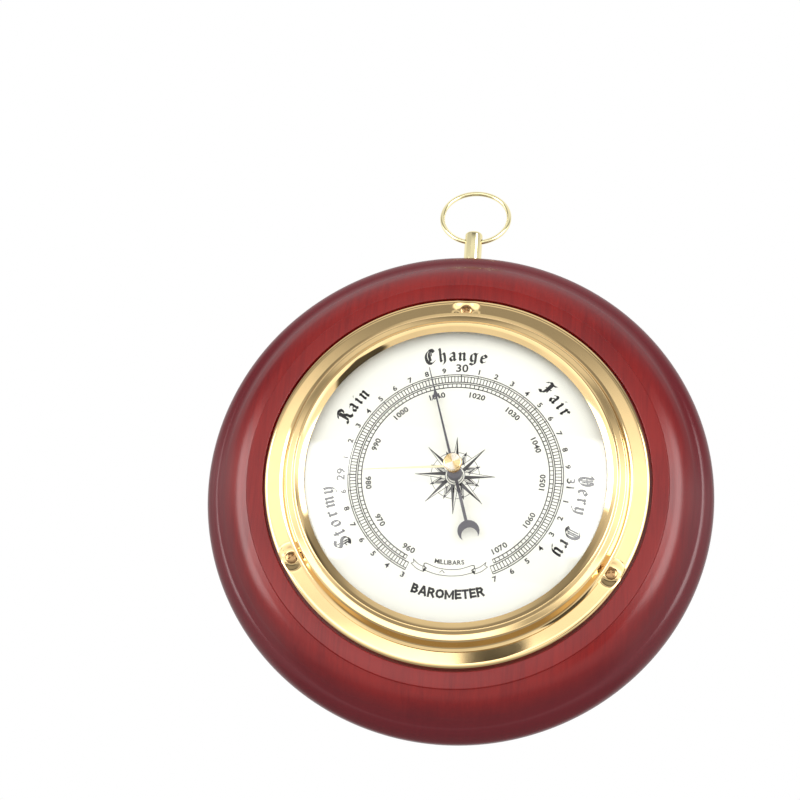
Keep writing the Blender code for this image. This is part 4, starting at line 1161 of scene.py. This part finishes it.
# ---------------------------------------------------------------- hands and knob
class BAROMETER_OT_hands(Operator):
    """Pressure hand, reading hand and the knurled knob that sets it"""
    bl_idname = "barometer.hands"
    bl_label = "Hands and knob"

    def execute(self, context):
        sizes = context.scene.barometer_sizes
        paint("pointer", finish("pointer"))
        paint("pointer_arbor", finish("steel"))
        paint("set_hand", finish("pale_brass"))
        for node in ("set_spindle", "glass_bush", "glass_bush_nut"):
            paint(node, finish("turned_brass"))
        hub = rounded(in_mm((0, 4.4, 0), (2.75, 4.4, 0.5), (2.75, 3.1, 0.1), (0, 3.1, 0)))
        new_piece("hand_hub", to_mesh(lathe(hub, 64), "hub"), "pressure_hand",
                  finish("pointer"), ("pointer_hub",))
        self.needle(context)
        low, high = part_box("set_knob")
        radius = half_width("set_knob") - KNURL_REACH
        top, foot = CENTRE.y - low.y, CENTRE.y - high.y
        knob = rounded([(0, top, 0), (radius - 0.1 * MM, top, 0.35 * MM), (radius, top - 0.6 * MM, 0.2 * MM),
                        (radius, foot + 0.5 * MM, 0.2 * MM), (radius - 0.3 * MM, foot, 0.1 * MM),
                        (1.1 * MM, foot, 0), (1.1 * MM, top - 0.9 * MM, 0), (0, top - 0.9 * MM, 0)], 12)
        mesh = to_mesh(lathe(knob, 96), "knob")
        # the knob takes the brass with painted highlight sectors
        new_piece("setting_knob", mesh, "reading_hand", finish("fan_turned_brass"),
                  ("set_knob",))
        ridges = ridge_pattern(finish("turned_brass"))
        mesh = ridges.run("setting_knob_ridges", {
            "Count": sizes.knurl_count, "Radius": radius - 0.1 * MM, "Ridge": 0.21 * MM,
            "Length": top - foot - 1.2 * MM, "Middle": (top + foot) / 2 - 0.05 * MM})
        mesh.transform(FACE)
        new_piece("setting_knob_ridges", mesh, "reading_hand", finish("turned_brass"))
        return {"FINISHED"}

    def needle(self, context):
        """The wire-like end of the pressure hand, beyond its barbs."""
        pointer = NODES["pointer"]
        into_face = FACE.inverted() @ pointer.matrix_world
        corners = [into_face @ corner.co for corner in pointer.data.vertices]
        tip = max(corners, key=lambda corner: corner.xy.length)
        depths = [corner.z for corner in corners]
        along = tip.xy.normalized()
        side = Vector((-along.y, along.x))
        foot, end = along * 0.83 * tip.xy.length, along * (tip.xy.length - 0.05 * MM)
        wide, narrow = side * 0.24 * MM, side * 0.17 * MM
        builder = bmesh.new()
        prism(builder, [tuple(foot - wide), tuple(end - narrow), tuple(end + narrow), tuple(foot + wide)],
              min(depths) + 0.02 * MM, max(depths) + 0.03 * MM)
        new_piece("pointer_needle", to_mesh(builder, "needle"), "pressure_hand",
                  finish("pointer"))


class BAROMETER_OT_movement(Operator):
    """Finishes for the movement and for the back of the case"""
    bl_idname = "barometer.movement"
    bl_label = "Movement finishes"

    def execute(self, context):
        wanted = {
            "polished_brass": ("dial_seat_ring", "back_cover"),
            "turned_brass": ("upper_bridge", "lower_bridge", "bridge_spacer_top", "bridge_spacer_bottom",
                             "pillar_top", "pillar_bottom", "movement_base", "rocker_bracket",
                             "hairspring_stud"),
            "nickel": ("capsule_upper", "capsule_lower", "capsule_post", "bridge_screw_top",
                       "bridge_screw_bottom", "movement_screw_top", "movement_screw_bottom",
                       "spring_screw_1", "spring_screw_2", "lever_screw"),
            "steel": ("main_spring", "hairspring", "main_lever", "link_rod", "rocking_shaft",
                      "arbor_chain", "adjusting_screw"),
            "rubber": ("glass_gasket",),
        }
        for name, nodes in wanted.items():
            for node in nodes:
                paint(node, finish(name))
        return {"FINISHED"}


# ---------------------------------------------------------------- studio
class BAROMETER_OT_studio(Operator):
    """Floor, soft lights and camera"""
    bl_idname = "barometer.studio"
    bl_label = "Studio"

    def execute(self, context):
        scene = context.scene
        scene.view_settings.view_transform = "Standard"
        self.floor(context)
        self.world(scene)
        self.lights()
        self.camera(scene)
        return {"FINISHED"}

    def floor(self, context):
        builder = bmesh.new()
        bmesh.ops.create_grid(builder, x_segments=2, y_segments=2, size=2.5)
        mesh = bpy.data.meshes.new("floor")
        builder.to_mesh(mesh)
        builder.free()
        floor = add_object("floor", mesh)
        floor.location = (0, 0, CAD_BOX[0][2] - 0.32)
        made = Finish("studio_floor", Base_Color=tuple(context.scene.barometer_colours.floor))
        made.feed("Roughness", made.noise(made.place(about=(0, 0, 0)), 40, 3, 0.5) * 0.2 + 0.6)
        mesh.materials.append(made.material)
        floor.visible_glossy = False

    def world(self, scene):
        world = bpy.data.worlds.new("studio")
        scene.world = world
        world.use_nodes = True
        made = Graph(world.node_tree)
        ground = made.tree.nodes["Background"]
        where = made.node("SeparateXYZ", None, made.node("TexCoord").wire("Generated"))
        x, y, z = where.wire(0), where.wire(1), where.wire(2)
        height = z.math("ARCSINE").math("DEGREES")
        turn = made.node("Math", {"operation": "ARCTAN2"}, x, y * -1.0).wire().math("DEGREES")

        def between(value, low, high, soft):
            rise = made.spread(value, low - soft, low + soft)
            return rise * made.spread(value, high - soft, high + soft, 1.0, 0.0)

        share = (height + 90.0) / 180.0
        brightest = 4.0

        def by_height(*steps):
            """Brightness from pairs of an elevation in degrees and a brightness."""
            stops = [((angle + 90) / 180, (value / brightest,) * 3) for angle, value in steps]
            return made.node("ValToRGB", {"stops": stops}, share).wire() * brightest

        middle = by_height((-90, 0.9), (-16, 0.95), (-12, 1.3), (2, 1.6), (5, 2.6), (10.9, 2.8), (11.6, 1.15),
                           (13, 1.35), (15, 1.65), (17.5, 1.7), (19, 1.4), (20.4, 1.0), (21.4, 0.62),
                           (22.4, 0.38), (24, 0.36), (25.2, 0.85), (28.5, 0.9), (29.6, 0.1), (33, 0.08),
                           (38, 0.3), (46, 0.35), (50, 0.7), (60, 0.9), (90, 1.1))
        sides = by_height((-90, 0.9), (-16, 0.95), (-10, 1.1), (5, 1.3), (18, 1.9), (23, 0.9), (36, 0.3),
                          (44, 0.35), (50, 0.65), (60, 0.85), (90, 1.1))
        front = between(turn, -27, 24, 4)
        around = between(turn, -95, 95, 12)
        level = front * middle + (1.0 - front) * (sides * around + (1.0 - around) * 0.95)
        # where each patch starts and ends around and in height, each with how soft its edges are
        windows = ((-56, -38, 0.8, -10, 24, 1.5), (33, 54, 0.8, -7, 29, 1.5))
        shadows = ((16, 31, 0.8, -17, -4.5, 0.8, 0.93), (-3.7, -1.3, 0.2, 8.5, 11.8, 0.2, 0.97),
                   (0, 9, 2.0, 3, 9, 2.0, 0.8))
        for left, right, soft, low, high, blur in windows:
            level = level + between(turn, left, right, soft) * between(height, low, high, blur) * 6.5
        for left, right, soft, low, high, blur, depth in shadows:
            level = level * (1.0 - between(turn, left, right, soft) * between(height, low, high, blur) * depth)
        level = level * (1.0 - between(height, -89, -34, 6) * 0.55)
        rays = made.node("LightPath")
        seen, mirrored = rays.wire("Is Camera Ray"), rays.wire("Is Glossy Ray")
        even = 0.20 + (y * -1.0).math("MAXIMUM", 0.0) * 1.24 + z.math("MAXIMUM", 0.0) * 0.45
        strength = seen + (1.0 - seen) * (mirrored * level + (1.0 - mirrored) * even)
        made.link(strength, ground.inputs["Strength"])
        ground.inputs["Color"].default_value = (1.0, 1.0, 1.0, 1.0)

    def lights(self):
        for name, spot, size, energy in (("key_light", (-0.55, -0.75, 0.55), 0.9, 3.0),
                                         ("fill_light", (0.75, -0.65, 0.05), 0.9, 1.8)):
            lamp = bpy.data.lights.new(name, "AREA")
            lamp.size = size
            lamp.energy = energy
            holder = add_object(name, lamp)
            holder.location = spot
            holder.rotation_euler = (CENTRE - Vector(spot)).to_track_quat("-Z", "Y").to_euler()
            holder.visible_glossy = False

    def camera(self, scene):
        """Below the dial and a little to its right, looking up at it."""
        distance, rise, swing, roll = 0.6392, -19.94, 6.63, 4.51
        target = CENTRE + Vector((-0.02411, 0, 0.03070))
        around, up = math.radians(swing), math.radians(rise)
        offset = Vector((math.sin(around) * math.cos(up), -math.cos(around) * math.cos(up), math.sin(up)))
        eye = target + offset * distance
        forward = (target - eye).normalized()
        right = forward.cross(Vector((0, 0, 1))).normalized()
        over = right.cross(forward)
        tilt = math.radians(roll)
        across = right * math.cos(tilt) + over * math.sin(tilt)
        upward = over * math.cos(tilt) - right * math.sin(tilt)
        lens = bpy.data.cameras.new("camera")
        lens.lens = 71.57
        lens.sensor_width = 36.0
        lens.clip_start = 0.01
        scene.camera = add_object("camera", lens)
        turned = Matrix((across, upward, -forward)).transposed().to_4x4()
        scene.camera.matrix_world = Matrix.Translation(eye) @ turned


class BAROMETER_PT_panel(Panel):
    bl_label = "Wall barometer"
    bl_idname = "BAROMETER_PT_panel"
    bl_space_type = "VIEW_3D"
    bl_region_type = "UI"
    bl_category = "Barometer"

    def draw(self, context):
        layout = self.layout
        for group in (context.scene.barometer_sizes, context.scene.barometer_colours):
            box = layout.box()
            for name in group.__annotations__:
                box.prop(group, name)
        for operator in OPERATORS:
            layout.operator(operator.bl_idname)


OPERATORS = (BAROMETER_OT_mount, BAROMETER_OT_case, BAROMETER_OT_bezel, BAROMETER_OT_glass, BAROMETER_OT_screws,
             BAROMETER_OT_hanger, BAROMETER_OT_dial, BAROMETER_OT_hands, BAROMETER_OT_movement,
             BAROMETER_OT_studio)
CLASSES = (BarometerSizes, BarometerColours) + OPERATORS + (BAROMETER_PT_panel,)


def register():
    for item in CLASSES:
        bpy.utils.register_class(item)
    bpy.types.Scene.barometer_sizes = PointerProperty(type=BarometerSizes)
    bpy.types.Scene.barometer_colours = PointerProperty(type=BarometerColours)


def unregister():
    del bpy.types.Scene.barometer_colours
    del bpy.types.Scene.barometer_sizes
    for item in reversed(CLASSES):
        bpy.utils.unregister_class(item)


def main():
    register()
    bpy.ops.barometer.mount()
    bpy.ops.barometer.case()
    bpy.ops.barometer.bezel()
    bpy.ops.barometer.glass()
    bpy.ops.barometer.screws()
    bpy.ops.barometer.hanger()
    bpy.ops.barometer.dial()
    bpy.ops.barometer.hands()
    bpy.ops.barometer.movement()
    bpy.ops.barometer.studio()


if __name__ == "__main__":
    main()
